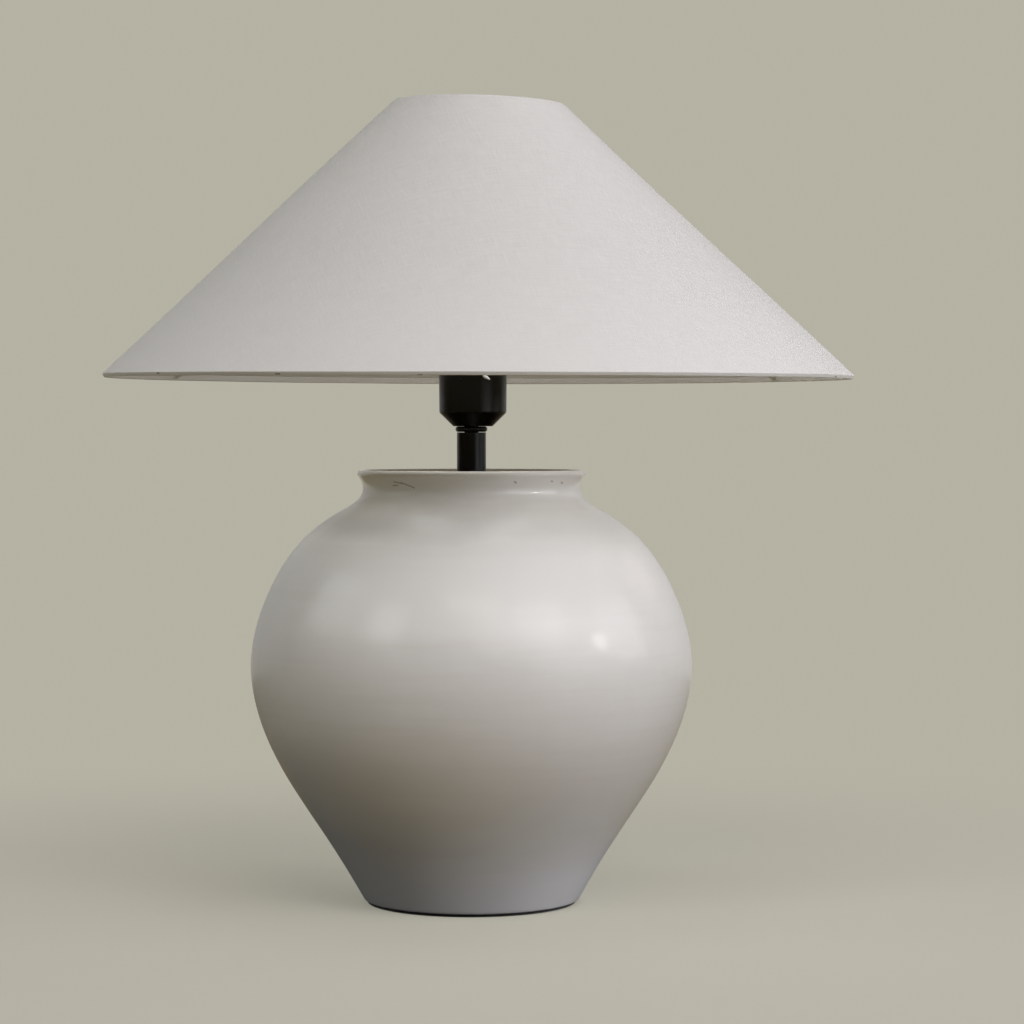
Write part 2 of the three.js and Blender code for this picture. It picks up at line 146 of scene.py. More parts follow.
def mesh_object(name, vertices, faces, smooth=True):
    mesh = bpy.data.meshes.new(name)
    mesh.from_pydata([tuple(v) for v in vertices], [], faces)
    mesh.validate()
    if smooth:
        mesh.shade_smooth()
    return added(name, mesh)


def block(name, lowest, highest):
    """A block between two corners, in millimetres."""
    corners = [
        (x * MM, y * MM, z * MM)
        for z in (lowest[2], highest[2])
        for y in (lowest[1], highest[1])
        for x in (lowest[0], highest[0])
    ]
    faces = [(0, 2, 3, 1), (4, 5, 7, 6), (0, 1, 5, 4), (2, 6, 7, 3), (0, 4, 6, 2), (1, 3, 7, 5)]
    return mesh_object(name, corners, faces, False)


def turned(name, outline, sides=96, shift=None):
    """The closed outline, in millimetres, turned about Z. shift(x, y, z) moves each point, in metres."""
    vertices, rings = [], []
    for radius, height in outline:
        if radius < 1e-6:
            rings.append([len(vertices)] * sides)
            vertices.append((0, 0, height * MM))
            continue
        rings.append(list(range(len(vertices), len(vertices) + sides)))
        for k in range(sides):
            a = 2 * math.pi * k / sides
            vertices.append((radius * MM * math.cos(a), radius * MM * math.sin(a), height * MM))
    if shift:
        vertices = [shift(*v) for v in vertices]
    faces = []
    for below, above in zip(rings, rings[1:] + rings[:1]):
        for k in range(sides):
            m = (k + 1) % sides
            face = list(dict.fromkeys([below[k], below[m], above[m], above[k]]))
            if len(face) > 2:
                faces.append(face)
    return mesh_object(name, vertices, faces)


def sharpen(piece, degrees=40):
    """Smooth shading that keeps edges sharper than the given angle."""
    mesh = piece.data
    work = bmesh.new()
    work.from_mesh(mesh)
    limit = math.radians(degrees)
    for edge in work.edges:
        edge.smooth = len(edge.link_faces) == 2 and edge.calc_face_angle(0) < limit
    work.to_mesh(mesh)
    work.free()
    return piece


def faced_outwards(piece):
    work = bmesh.new()
    work.from_mesh(piece.data)
    bmesh.ops.recalc_face_normals(work, faces=work.faces)
    work.to_mesh(piece.data)
    work.free()
    return piece


def moved(piece, matrix):
    piece.data.transform(matrix)
    return piece


def joined(name, pieces):
    """One object from several, which are removed."""
    work = bmesh.new()
    for piece in pieces:
        work.from_mesh(piece.data)
    mesh = bpy.data.meshes.new(name)
    work.to_mesh(mesh)
    work.free()
    for piece in pieces:
        bpy.data.objects.remove(piece)
    return added(name, mesh)


def apply_modifiers(piece):
    graph = bpy.context.evaluated_depsgraph_get()
    mesh = bpy.data.meshes.new_from_object(piece.evaluated_get(graph))
    piece.modifiers.clear()
    piece.data = mesh
    return piece


def lying_back(height):
    """Lays what stands on Z down along Y, towards the back, at a height."""
    return Matrix.Translation((0, 0, height)) @ Matrix.Rotation(-math.pi / 2, 4, "X")


def cut_out(piece, tool):
    """piece with the tool's shape taken away."""
    modifier = piece.modifiers.new("cut", "BOOLEAN")
    modifier.operation = "DIFFERENCE"
    modifier.solver = "EXACT"
    modifier.object = tool
    apply_modifiers(piece)
    bpy.data.objects.remove(tool)
    return piece


def bevelled(piece, width):
    modifier = piece.modifiers.new("bevel", "BEVEL")
    modifier.width = width
    modifier.segments = 2
    modifier.limit_method = "ANGLE"
    modifier.angle_limit = math.radians(30)
    return apply_modifiers(piece)


def swept(name, path, radius, sides=16, closed=False, widths=None):
    """A round wire along a list of points. widths may have a share of the radius for each point."""
    points = [Vector(p) for p in path]
    n = len(points)
    vertices, faces = [], []
    for i, point in enumerate(points):
        if closed:
            along = points[(i + 1) % n] - points[i - 1]
        else:
            along = points[min(i + 1, n - 1)] - points[max(i - 1, 0)]
        along.normalize()
        side = along.cross(Vector((0, 0, 1))).normalized()
        up = side.cross(along)
        thick = radius * (widths[i] if widths else 1)
        for k in range(sides):
            a = 2 * math.pi * k / sides
            vertices.append(point + (side * math.cos(a) + up * math.sin(a)) * thick)
    spans = n if closed else n - 1
    for i in range(spans):
        here, there = i * sides, ((i + 1) % n) * sides
        for k in range(sides):
            m = (k + 1) % sides
            faces.append([here + k, here + m, there + m, there + k])
    if not closed:
        faces.append(list(range(sides))[::-1])
        faces.append(list(range((n - 1) * sides, n * sides)))
    return sharpen(faced_outwards(mesh_object(name, vertices, faces)), 60)


def place(piece, body, material, slot, *nodes):
    """Gives a finished piece its material and its body, and hides the CAD nodes that it stands for. slot
    is not used.
    """
    piece.data.materials.clear()
    for one in material if isinstance(material, list) else [material]:
        piece.data.materials.append(one)
    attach(piece, body)
    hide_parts(*nodes)
    return piece


# ------------------------------------------------------------------ material helpers


class Nodes:
    """Short names for the nodes that a node tree is made of. place is where a point is."""

    def __init__(self, tree, coordinates):
        self.tree = tree
        self.place = self.node("ShaderNodeTexCoord").outputs[coordinates]

    def node(self, kind, inputs=None, **settings):
        made = self.tree.nodes.new(kind)
        for name, value in settings.items():
            setattr(made, name, value)
        for name, value in (inputs or {}).items():
            self.feed(made.inputs[name], value)
        return made

    def feed(self, socket, value):
        if isinstance(value, bpy.types.NodeSocket):
            self.tree.links.new(value, socket)
        else:
            socket.default_value = value

    def math(self, operation, a, b=0.0, clamp=False):
        made = self.node("ShaderNodeMath", {0: a, 1: b}, operation=operation, use_clamp=clamp)
        return made.outputs[0]

    def times(self, a, b):
        return self.math("MULTIPLY", a, b)

    def plus(self, a, b):
        return self.math("ADD", a, b)

    def most(self, a, b):
        return self.math("MAXIMUM", a, b)

    def vector(self, operation, output, a, b=None):
        inputs = {0: a} if b is None else {0: a, 1: b}
        return self.node("ShaderNodeVectorMath", inputs, operation=operation).outputs[output]

    def axis(self, name, of=None):
        return self.node("ShaderNodeSeparateXYZ", {"Vector": of or self.place}).outputs[name]

    def noise(self, scale, detail=3.0, roughness=0.5, at=None, distortion=0.0):
        inputs = {
            "Vector": at or self.place, "Scale": scale, "Detail": detail,
            "Roughness": roughness, "Distortion": distortion,
        }
        return self.node("ShaderNodeTexNoise", inputs).outputs["Fac"]

    def stretched(self, x, y, z, at=None):
        made = self.node("ShaderNodeMapping", {"Vector": at or self.place, "Scale": (x, y, z)})
        return made.outputs["Vector"]

    def remap(self, value, low, high, to_low=0.0, to_high=1.0):
        inputs = {"Value": value, "From Min": low, "From Max": high, "To Min": to_low, "To Max": to_high}
        return self.node("ShaderNodeMapRange", inputs).outputs["Result"]

    def band(self, value, rise, fall):
        """1 where the value is between its rise and its fall, each from one value to another."""
        return self.times(self.remap(value, *rise), self.remap(value, *fall, 1, 0))

    def mix(self, share, a, b):
        made = self.node("ShaderNodeMix", data_type="RGBA")
        self.feed(made.inputs["Factor"], share)
        for name, value in (("A", a), ("B", b)):
            socket = [s for s in made.inputs if s.name == name and s.type == "RGBA"][0]
            self.feed(socket, value if isinstance(value, bpy.types.NodeSocket) else (*value, 1))
        return [s for s in made.outputs if s.type == "RGBA"][0]

    def bump(self, height, distance, strength=1.0):
        inputs = {"Height": height, "Distance": distance, "Strength": strength}
        return self.node("ShaderNodeBump", inputs).outputs["Normal"]


class Shader(Nodes):
    """A Principled material under construction."""

    def __init__(self, name, colour, roughness, metallic=0.0, **sockets):
        self.material = bpy.data.materials.new(name)
        self.material.use_nodes = True
        super().__init__(self.material.node_tree, "Object")
        self.bsdf = self.tree.nodes["Principled BSDF"]
        self.bsdf.inputs["Base Color"].default_value = (*colour, 1)
        self.bsdf.inputs["Roughness"].default_value = roughness
        self.bsdf.inputs["Metallic"].default_value = metallic
        for socket, value in sockets.items():
            label = socket.replace("_", " ").title().replace("Ior", "IOR")
            self.bsdf.inputs[label].default_value = value

    def surface(self, shader):
        self.tree.links.new(shader, self.tree.nodes["Material Output"].inputs["Surface"])

    def set(self, **inputs):
        for name, value in inputs.items():
            self.feed(self.bsdf.inputs[name.replace("_", " ").title()], value)
        return self.material


# ------------------------------------------------------------------ materials


def marks(s, strokes, width):
    """A mask of fine ragged strokes on the lamp's front, each from (x, z) to (x, z) in millimetres."""
    seen_from_front = s.node("ShaderNodeCombineXYZ", {"X": s.axis("X"), "Z": s.axis("Z")}).outputs[0]
    ragged = s.times(s.noise(900, 2), width * MM)
    total = 0.0
    for (x, z), (end_x, end_z) in strokes:
        along = Vector((end_x - x, 0, end_z - z)) * MM
        offset = s.vector("SUBTRACT", 0, seen_from_front, (x * MM, 0, z * MM))
        share = s.vector("DOT_PRODUCT", "Value", offset, tuple(along / along.length_squared))
        nearest = s.node("ShaderNodeVectorMath", {0: tuple(along)}, operation="SCALE")
        s.feed(nearest.inputs["Scale"], s.math("ADD", share, 0.0, clamp=True))
        gap = s.vector("DISTANCE", "Value", offset, nearest.outputs[0])
        beyond = s.math("SUBTRACT", gap, ragged)
        total = s.most(total, s.remap(beyond, -0.1 * width * MM, 0.4 * width * MM, 1, 0))
    return s.times(total, s.math("LESS_THAN", s.axis("Y"), 0.0))


NECK_SCRATCH = [
    ((-50.4, 281.9), (-44.6, 280.6)), ((-45.6, 281.3), (-36.8, 278.0)), ((-51, 279.3), (-48, 279.5)),
]
NECK_SPECKS = [
    ((28.0, 282.0), (28.7, 281.4)), ((52.2, 282.1), (52.6, 282.0)), ((59.0, 281.0), (59.3, 280.8)),
]
CLAY_TOP_Z = 1.9


def glaze_material():
    """Satin white glaze with light and shade painted into its colour. A darker, warmer band low on the
    belly and a darker patch low on the left are painted shade, and so is a darker band on the shoulder,
    where the lamp shade's shadow falls;
    paler low on the right, round the belly and at the neck is painted light. It is glossier on the neck,
    with bare clay at the very foot. Places are in metres."""
    s = Shader("satin_glaze", (0.8, 0.79, 0.775), 0.38, Coat_Weight=0.2, Coat_Roughness=0.13)
    colour = s.mix(s.remap(s.noise(7, 3), 0.35, 0.65), (0.818, 0.807, 0.787), (0.786, 0.774, 0.752))
    streak = s.noise(1, 3, at=s.stretched(9, 9, 150))
    colour = s.mix(s.remap(streak, 0.5, 0.72, 0, 0.35), colour, (0.73, 0.70, 0.65))
    mottle = s.noise(75, 4, 0.7)
    colour = s.mix(s.remap(mottle, 0.3, 0.7, 0, 0.4), colour, (0.755, 0.74, 0.718))
    dots = s.node("ShaderNodeTexVoronoi", {"Vector": s.place, "Scale": 70.0})
    chance = s.node("ShaderNodeSeparateColor", {0: dots.outputs["Color"]}).outputs[0]
    rare = s.math("GREATER_THAN", chance, 0.93)
    pinhole = s.times(s.remap(dots.outputs["Distance"], 0.02, 0.045, 1, 0), rare)
    colour = s.mix(s.times(pinhole, 0.5), colour, (0.25, 0.19, 0.13))

    height, sideways = s.axis("Z"), s.axis("X")
    drawn = s.plus(height, s.remap(s.noise(9, 3), 0.3, 0.7, -0.006, 0.006))
    # 1 on the left, falling to 0.1 on the right: it spreads the painted shade over the left side and the
    # painted light over the right.
    shaded_left_side = s.remap(sideways, -0.1, 0.12, 1.0, 0.1)
    # A darker, warmer band low on the belly, strongest on the left: painted shade.
    thick = s.band(drawn, (0.073, 0.083), (0.090, 0.125))
    colour = s.mix(s.times(thick, shaded_left_side), colour, (0.75, 0.715, 0.66))
    # A warm band just below it, also strongest on the left: painted shade.
    warm = s.band(drawn, (0.03, 0.055), (0.075, 0.083))
    colour = s.mix(s.times(warm, shaded_left_side), colour, (0.785, 0.757, 0.70))
    # Darker low on the left, near the foot: painted shade.
    painted_shade_low_left = s.times(s.remap(drawn, 0.045, 0.085, 1, 0), s.remap(shaded_left_side, 0.5, 0.75))
    colour = s.mix(s.times(painted_shade_low_left, 0.8), colour, (0.66, 0.645, 0.60))
    # Paler low on the right, round the front of the belly and at the neck: painted light.
    painted_light = s.times(s.remap(drawn, 0.025, 0.06, 1, 0), s.remap(shaded_left_side, 0.5, 0.3))
    painted_light = s.most(painted_light, s.remap(drawn, 0.262, 0.272, 0, 0.8))
    belly = s.times(s.band(drawn, (0.178, 0.194), (0.236, 0.252)), 0.75)
    painted_light = s.most(painted_light, s.times(belly, s.band(sideways, (-0.1, -0.07), (0.08, 0.105))))
    colour = s.mix(painted_light, colour, (0.90, 0.888, 0.87))
    # Darker on the shoulder, where the lamp shade's shadow falls: painted shadow.
    shoulder = s.band(drawn, (0.244, 0.254), (0.257, 0.268))
    shoulder = s.times(shoulder, s.remap(sideways, -0.02, 0.06, 1, 0.3))
    colour = s.mix(shoulder, colour, (0.63, 0.62, 0.605))
    ink = s.most(s.times(marks(s, NECK_SCRATCH, 0.6), 0.55), s.times(marks(s, NECK_SPECKS, 0.9), 0.5))
    colour = s.mix(ink, colour, (0.10, 0.08, 0.055))
    edge = s.plus(height, s.remap(s.noise(60, 2), 0, 1, -0.0006, 0.0006))
    clay = s.remap(edge, CLAY_TOP_Z * MM, (CLAY_TOP_Z + 0.5) * MM, 1, 0)
    colour = s.mix(clay, colour, (0.42, 0.39, 0.35))

    throwing = s.noise(1, 2, at=s.stretched(5, 5, 420))
    pitted = s.math("SUBTRACT", s.times(throwing, 0.6), s.times(pinhole, 0.5))
    skin = s.bump(s.plus(pitted, s.times(s.noise(450, 3), 0.12)), 0.00012, 0.5)
    rough = s.plus(s.remap(s.noise(16, 3), 0.3, 0.7, 0.35, 0.43), s.times(clay, 0.4))
    coat = s.remap(height, 0.262, 0.270, 0.2, 0.6)
    coat_rough = s.remap(height, 0.262, 0.270, 0.13, 0.035)
    s.set(coat_weight=coat, coat_roughness=coat_rough)
    return s.set(base_color=colour, roughness=rough, normal=skin)


# Dark brown bare clay for the vase's inside; its darkness also stands in for the shade inside the mouth:
# painted shade.
def clay_and_shade_material():
    s = Shader("bare_clay_and_shade", (0.24, 0.20, 0.155), 0.8)
    grit = s.noise(420, 4, 0.65)
    rings = s.noise(1, 2, at=s.stretched(6, 6, 260))
    colour = s.mix(s.remap(grit, 0.35, 0.7), (0.25, 0.21, 0.165), (0.19, 0.155, 0.115))
    rough = s.remap(rings, 0.3, 0.7, 0.72, 0.88)
    height = s.plus(s.times(rings, 0.7), s.times(grit, 0.3))
    return s.set(base_color=colour, roughness=rough, normal=s.bump(height, 0.0004))


def felt_material():
    s = Shader("felt", (0.02, 0.019, 0.018), 0.95, Sheen_Weight=0.5, Sheen_Roughness=0.4)
    fibres = s.noise(1, 4, 0.7, at=s.stretched(2600, 900, 1500), distortion=1.5)
    colour = s.mix(fibres, (0.010, 0.010, 0.009), (0.045, 0.042, 0.038))
    return s.set(base_color=colour, normal=s.bump(fibres, 0.0006))


def rubber_material():
    s = Shader("rubber", (0.014, 0.014, 0.013), 0.75)
    bloom = s.noise(90, 4, 0.6)
    colour = s.mix(s.remap(bloom, 0.4, 0.8), (0.012, 0.012, 0.011), (0.032, 0.031, 0.029))
    rough = s.remap(bloom, 0.3, 0.7, 0.62, 0.82)
    return s.set(base_color=colour, roughness=rough, normal=s.bump(s.noise(2200, 2), 0.00006))


def metal_material(name, colour, worn, roughness):
    """Plated or bare metal: fine turning marks, slightly dull patches."""
    s = Shader(name, colour, roughness, 1.0)
    patches = s.noise(130, 4, 0.6)
    lines = s.noise(1, 2, at=s.stretched(40, 40, 900))
    tint = s.mix(s.remap(patches, 0.42, 0.7), colour, worn)
    wear = s.plus(patches, s.times(lines, 0.3))
    rough = s.remap(wear, 0.4, 0.9, roughness * 0.8, roughness * 1.5)
    return s.set(base_color=tint, roughness=rough, normal=s.bump(lines, 0.00002, 0.6))


def black_paint_material():
    s = Shader("black_paint", (0.004, 0.0038, 0.0034), 0.3, Specular_IOR_Level=0.42)
    peel = s.noise(1400, 2)
    dust = s.remap(s.noise(1, 4, 0.7, at=s.stretched(500, 500, 260)), 0.6, 0.85)
    colour = s.mix(s.times(dust, 0.3), (0.0038, 0.0036, 0.0031), (0.030, 0.027, 0.023))
    rough = s.remap(s.noise(60, 3), 0.3, 0.7, 0.27, 0.35)
    return s.set(base_color=colour, roughness=rough, normal=s.bump(peel, 0.00003, 0.6))


def black_resin_material():
    s = Shader("black_resin", (0.014, 0.0135, 0.013), 0.42)
    grain = s.noise(700, 3, 0.6)
    colour = s.mix(s.remap(s.noise(50, 3), 0.35, 0.7), (0.012, 0.0115, 0.011), (0.022, 0.021, 0.020))
    rough = s.remap(grain, 0.3, 0.7, 0.38, 0.5)
    return s.set(base_color=colour, roughness=rough, normal=s.bump(grain, 0.00004, 0.6))


def porcelain_material():
    s = Shader("porcelain", (0.80, 0.775, 0.72), 0.3, Coat_Weight=0.3, Coat_Roughness=0.12)
    cloud = s.noise(120, 3)
    colour = s.mix(s.remap(cloud, 0.3, 0.75), (0.82, 0.80, 0.75), (0.72, 0.68, 0.60))
    return s.set(base_color=colour, normal=s.bump(s.noise(800, 2), 0.00003))


def wire_material():
    s = Shader("white_powder_coat", (0.76, 0.75, 0.72), 0.5)
    grain = s.noise(1600, 3, 0.6)
    chips = s.remap(s.noise(220, 4, 0.7), 0.68, 0.74)
    colour = s.mix(s.times(chips, 0.4), (0.76, 0.75, 0.72), (0.50, 0.48, 0.44))
    rough = s.remap(grain, 0.3, 0.7, 0.45, 0.6)
    return s.set(base_color=colour, roughness=rough, normal=s.bump(grain, 0.00005))


def laminate_material():
    s = Shader("laminate", (0.72, 0.70, 0.65), 0.5, Coat_Weight=0.1, Coat_Roughness=0.35)
    cloud = s.noise(11, 3)
    weave = s.noise(1500, 2, 0.6)
    colour = s.mix(s.remap(cloud, 0.3, 0.7), (0.83, 0.81, 0.77), (0.78, 0.76, 0.71))
    rough = s.remap(cloud, 0.3, 0.7, 0.45, 0.55)
    return s.set(base_color=colour, roughness=rough, normal=s.bump(weave, 0.00006, 0.5))


def frosted_material():
    s = Shader("frosted_glass", (0.85, 0.84, 0.81), 0.32, Coat_Weight=0.6, Coat_Roughness=0.08)
    frost = s.noise(500, 3, 0.6)
    out_of_the_cap = s.remap(s.axis("Z"), 0.378, 0.41)
    colour = s.mix(out_of_the_cap, (0.66, 0.65, 0.62), (0.86, 0.85, 0.82))
    rough = s.remap(frost, 0.3, 0.7, 0.28, 0.38)
    return s.set(base_color=colour, roughness=rough, normal=s.bump(frost, 0.00003))


def dark_glass_material():
    s = Shader("dark_glass", (0.010, 0.010, 0.012), 0.12)
    swirl = s.noise(160, 3, distortion=2.0)
    colour = s.mix(swirl, (0.008, 0.008, 0.010), (0.03, 0.028, 0.034))
    rough = s.remap(swirl, 0.3, 0.7, 0.08, 0.2)
    return s.set(base_color=colour, roughness=rough, normal=s.bump(swirl, 0.0001))


THREAD_PITCH = 0.00066
TUCK_SLANT = 0.3432
# Dark dots along the front of the bottom hem, each from (x, z) to (x, z) in millimetres: painted shade in
# small gaps.
HEM_GAP_SHADOWS = [
    ((230.6, 349.3), (231.6, 349.2)), ((-194, 350.6), (-192.5, 350.6)), ((-116.5, 348.9), (-114, 348.9)),
    ((-31.5, 347.8), (-29, 347.8)),
]


def linen_material():
    """A plain weave that runs straight across the cloth's flat cut, with slubs along both threads."""
    s = Shader("linen", (0.78, 0.765, 0.755), 0.85, Sheen_Weight=0.25, Sheen_Roughness=0.5)
    flat = s.node("ShaderNodeUVMap", uv_map="flat_cut").outputs["UV"]
    threads, slubs = [], []
    for axis, wavy, lumpy in (("X", (260, 14), (1400, 60)), ("Y", (14, 260), (60, 1400))):
        wander = s.remap(s.noise(1, 3, at=s.stretched(*wavy, 1, at=flat)), 0, 1, -1.5, 1.5)
        counted = s.times(s.axis(axis, flat), math.pi / THREAD_PITCH)
        threads.append(s.math("SINE", s.plus(counted, wander)))
        slubs.append(s.noise(1, 4, 0.65, at=s.stretched(*lumpy, 1, at=flat)))
    over_under, slub = s.times(*threads), s.plus(*slubs)
    cloud = s.noise(26, 4, 0.6, at=flat)
    fleck = s.remap(s.noise(1, 3, 0.6, at=s.stretched(330, 520, 1, at=flat)), 0.3, 0.7)
    colour = s.mix(s.remap(slub, 0.75, 1.25), (0.712, 0.698, 0.686), (0.848, 0.835, 0.828))
    colour = s.mix(s.remap(cloud, 0.3, 0.7, 0, 0.5), colour, (0.755, 0.745, 0.735))
    colour = s.mix(s.times(fleck, 0.35), colour, (0.80, 0.79, 0.783))
    slant = s.vector("LENGTH", "Value", flat)
    # Paler towards the bottom hem: painted light.
    colour = s.mix(s.remap(slant, 0.22, 0.338, 0, 0.5), colour, (0.865, 0.85, 0.842))
    # The cloth turned under and tucked inside the bottom hem is darker: painted shade.
    colour = s.mix(s.remap(slant, TUCK_SLANT - 0.0012, TUCK_SLANT), colour, (0.50, 0.475, 0.43))
    # Near-black dots along the bottom hem, where small gaps show shade: painted shade.
    colour = s.mix(s.times(marks(s, HEM_GAP_SHADOWS, 0.5), 0.8), colour, (0.03, 0.025, 0.02))
    height = s.plus(s.times(over_under, 0.5), s.times(slub, 0.9))
    return s.set(base_color=colour, normal=s.bump(height, 0.00022, 0.6))


# ------------------------------------------------------------------ measures from the frame


def low(node):
    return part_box(node)[0].z / MM


def top(node):
    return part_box(node)[1].z / MM


def reach(node):
    """The radius of a turned node."""
    lowest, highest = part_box(node)
    return (highest.x - lowest.x) / 2 / MM


def measures(node):
    """A turned node's radius, bottom and top, in millimetres."""
    return reach(node), low(node), top(node)


def crisp(piece, degrees=35):
    """Flat faces stay flat in the shading, and rounded edges round."""
    sharpen(piece, degrees)
    modifier = piece.modifiers.new("normals", "WEIGHTED_NORMAL")
    modifier.keep_sharp = True
    return apply_modifiers(piece)


def washer(name, node, bore, edge=0.25, sides=96):
    """A flat ring with rounded edges in the place of a node."""
    outer, bottom, up = measures(node)
    outline = rounded([(bore, bottom), (outer, bottom), (outer, up), (bore, up)], edge)
    return crisp(turned(name, outline, sides))


# ------------------------------------------------------------------ vase and foot

FOOT_Z = low("ceramic_vase")
LIP_Z = top("ceramic_vase")
FLOOR_HOLE = 5.8
RECESS_Z = 14.5
FLOOR_Z = 24
RECESS_RADIUS = 57
TRUE_RADIUS = 45
CORD_HOLE_RADIUS = 4.5
CORD_HOLE_Z = 8.2


def thrown(x, y, z):
    """The slight unevenness of a vase made on a wheel: fine rings, broad rings and a soft lumpiness.
    The middle of its floor stays true."""
    radius = math.hypot(x, y)
    if radius < TRUE_RADIUS * MM:
        return x, y, z
    drift = 0.4 * math.sin(math.atan2(y, x) + 35 * z)
    fine = noise.noise(Vector((z / 0.0047 + drift, 3.1, 0))) * 0.000012
    broad = noise.noise(Vector((z / 0.019 + drift, 7.7, 0))) * 0.00008
    lumps = noise.noise(Vector((x, y, z)) * 11) * 0.0003
    scale = 1 + (fine + broad + lumps) / radius
    return x * scale, y * scale, z


def make_vase(glaze, clay):
    """The vase, with the cord's hole through the back of its foot. Its inside is bare clay, dark enough
    to stand in for the shade inside the mouth as well: painted shade.
    """
    outside = natural_spline([
        (72.0, 2.6), (74.9, 7.6), (80.6, 17.5), (93.8, 39), (114.8, 71), (133.3, 103.5), (144.2, 134),
        (147.2, 160), (138.8, 199), (124.6, 227), (113, 242), (93.4, 257.8), (80.2, 265.6),
        (74.1, 271.2), (72.5, 277), (73.8, 281.9), (75.9, 285.2),
    ], 230)
    lip = natural_spline([(76.3, 286.6), (75.3, 288.3), (72.8, LIP_Z), (70.4, 287.6), (68.8, 285)], 14)
    inside = natural_spline([
        (68, 282), (66.6, 275), (72, 264.5), (91, 250.5), (110, 235.5), (119.5, 221.5), (132.8, 196),
        (140.6, 160), (137.8, 135), (126.5, 103.5), (108.5, 72), (88.5, 42), (80, 31), (72, FLOOR_Z),
    ], 90)
    underside = rounded([
        (FLOOR_HOLE, FLOOR_Z, 0.6), (FLOOR_HOLE, RECESS_Z, 0.6), (RECESS_RADIUS, RECESS_Z, 4),
        (RECESS_RADIUS + 1, FOOT_Z, 1.2), (70.8, FOOT_Z, 0.8), (71.9, 2.5, 0),
    ], 1, 5)
    vase = turned("vase", [*outside, *lip, *inside, *underside], 240, thrown)
    start, end = RECESS_RADIUS - 12, 84
    outline = [(0, start), (CORD_HOLE_RADIUS, start), (CORD_HOLE_RADIUS, end), (0, end)]
    cut_out(vase, moved(turned("hole", outline, 40), lying_back(CORD_HOLE_Z * MM)))
    sharpen(vase, 50)
    place(vase, "base", [glaze, clay], "glaze", "ceramic_vase")
    # Faces that look inwards, from the floor up to the lip, take the dark clay: bare clay and painted
    # shade.
    for face in vase.data.polygons:
        outwards = face.normal.x * face.center.x + face.normal.y * face.center.y
        if outwards < 0 and FLOOR_Z * MM < face.center.z < (LIP_Z - 0.1) * MM:
            face.material_index = 1


def make_foot(felt, rubber):
    outer, thickness = reach("felt_pad"), top("felt_pad")
    inner = RECESS_RADIUS + 1.4
    outline = rounded([(inner, 0), (outer, 0), (outer, thickness), (inner, thickness)], 0.5)

    def fuzzy(x, y, z):
        scale = 1 + noise.noise(Vector((x, y, z)) * 900) * 0.00015 / math.hypot(x, y)
        return x * scale, y * scale, z

    pad = turned("foot_felt", outline, 320, fuzzy)
    place(pad, "base", felt, "felt", "felt_pad")

    lowest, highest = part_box("cord_grommet")
    inside, nose = lowest.y / MM, highest.y / MM
    head, body, bore = (highest.x - lowest.x) / 2 / MM, 4.2, 3.2
    outline = rounded([
        (bore, inside, 0.4), (head, inside, 0.5), (head, inside + 1.4, 0.3), (body, inside + 1.6, 0.1),
        (body, nose, 1.3), (bore, nose, 0.5),
    ], 0.3, 5)
    bush = moved(turned("cord_bush", outline, 64), lying_back((lowest.z + highest.z) / 2))
    place(crisp(bush), "base", rubber, "rubber", "cord_grommet")


# ------------------------------------------------------------------ stem

ROD_RADIUS = 5
ROD_FIT = 5.3
CUP_BOTTOM_Z = low("holder_cup") - 0.35
CUP_CHAMFER_Z = 327.1
CUP_SHIFT = 0.97
BOSS_RADIUS = 8.4
BOSS_TOP_Z = 331.5
BULB_PITCH = 3.63


def threaded(radius, pitch, depth, hand=1, inner=0.0):
    """A shift that cuts a round thread into every point further out than inner, in millimetres."""

    def shift(x, y, z):
        r = math.hypot(x, y)
        if r < inner * MM:
            return x, y, z
        phase = z / (pitch * MM) - hand * math.atan2(y, x) / (2 * math.pi)
        scale = 1 + depth * MM * (math.cos(2 * math.pi * phase) - 1) / 2 / r
        return x * scale, y * scale, z

    return shift


def make_stem(steel, rubber, paint):
    bottom, up = low("threaded_rod"), top("threaded_rod")
    pitch, steps = 1.25, 5
    rows = int((up - bottom) / pitch * steps)
    outside = [(ROD_RADIUS, bottom + 0.5 + (up - bottom - 1) * i / rows) for i in range(rows + 1)]
    outline = [(4.5, bottom), *outside, (4.5, up), (3.5, up), (3.5, bottom)]
    rod = turned("stem_rod", outline, 24, threaded(ROD_RADIUS, pitch, 0.6, inner=4.7))
    place(crisp(rod), "base", steel, "steel", "threaded_rod")

    place(washer("foot_washer", "bottom_washer", ROD_FIT), "base", steel, "steel", "bottom_washer")
    place(make_lock_washer(), "base", steel, "steel", "bottom_lock_washer")
    place(make_nut(), "base", steel, "steel", "bottom_nut")
    gasket = washer("floor_gasket", "inner_gasket", ROD_FIT, 0.8)
    place(gasket, "base", rubber, "rubber", "inner_gasket")
    place(washer("floor_plate", "inner_washer", ROD_FIT, 0.6), "base", steel, "steel", "inner_washer")

    outer, bottom, up = measures("sleeve_tube")
    outer += 0.2
    bore = outer - 1.2
    outline = rounded([(bore, bottom), (outer, bottom), (outer, up), (bore, up)], 0.4)
    place(crisp(turned("sleeve", outline, 160)), "base", paint, "black_metal", "sleeve_tube")

    radius, bottom, up = reach("collar") + 0.5, low("collar"), CUP_BOTTOM_Z - 0.1
    half = (up - bottom) / 2
    outline = [(ROD_FIT, bottom), *arc((radius - half, bottom + half), half, -90, 90, 16), (ROD_FIT, up)]
    place(crisp(turned("neck_collar", outline, 160)), "base", paint, "black_metal", "collar")


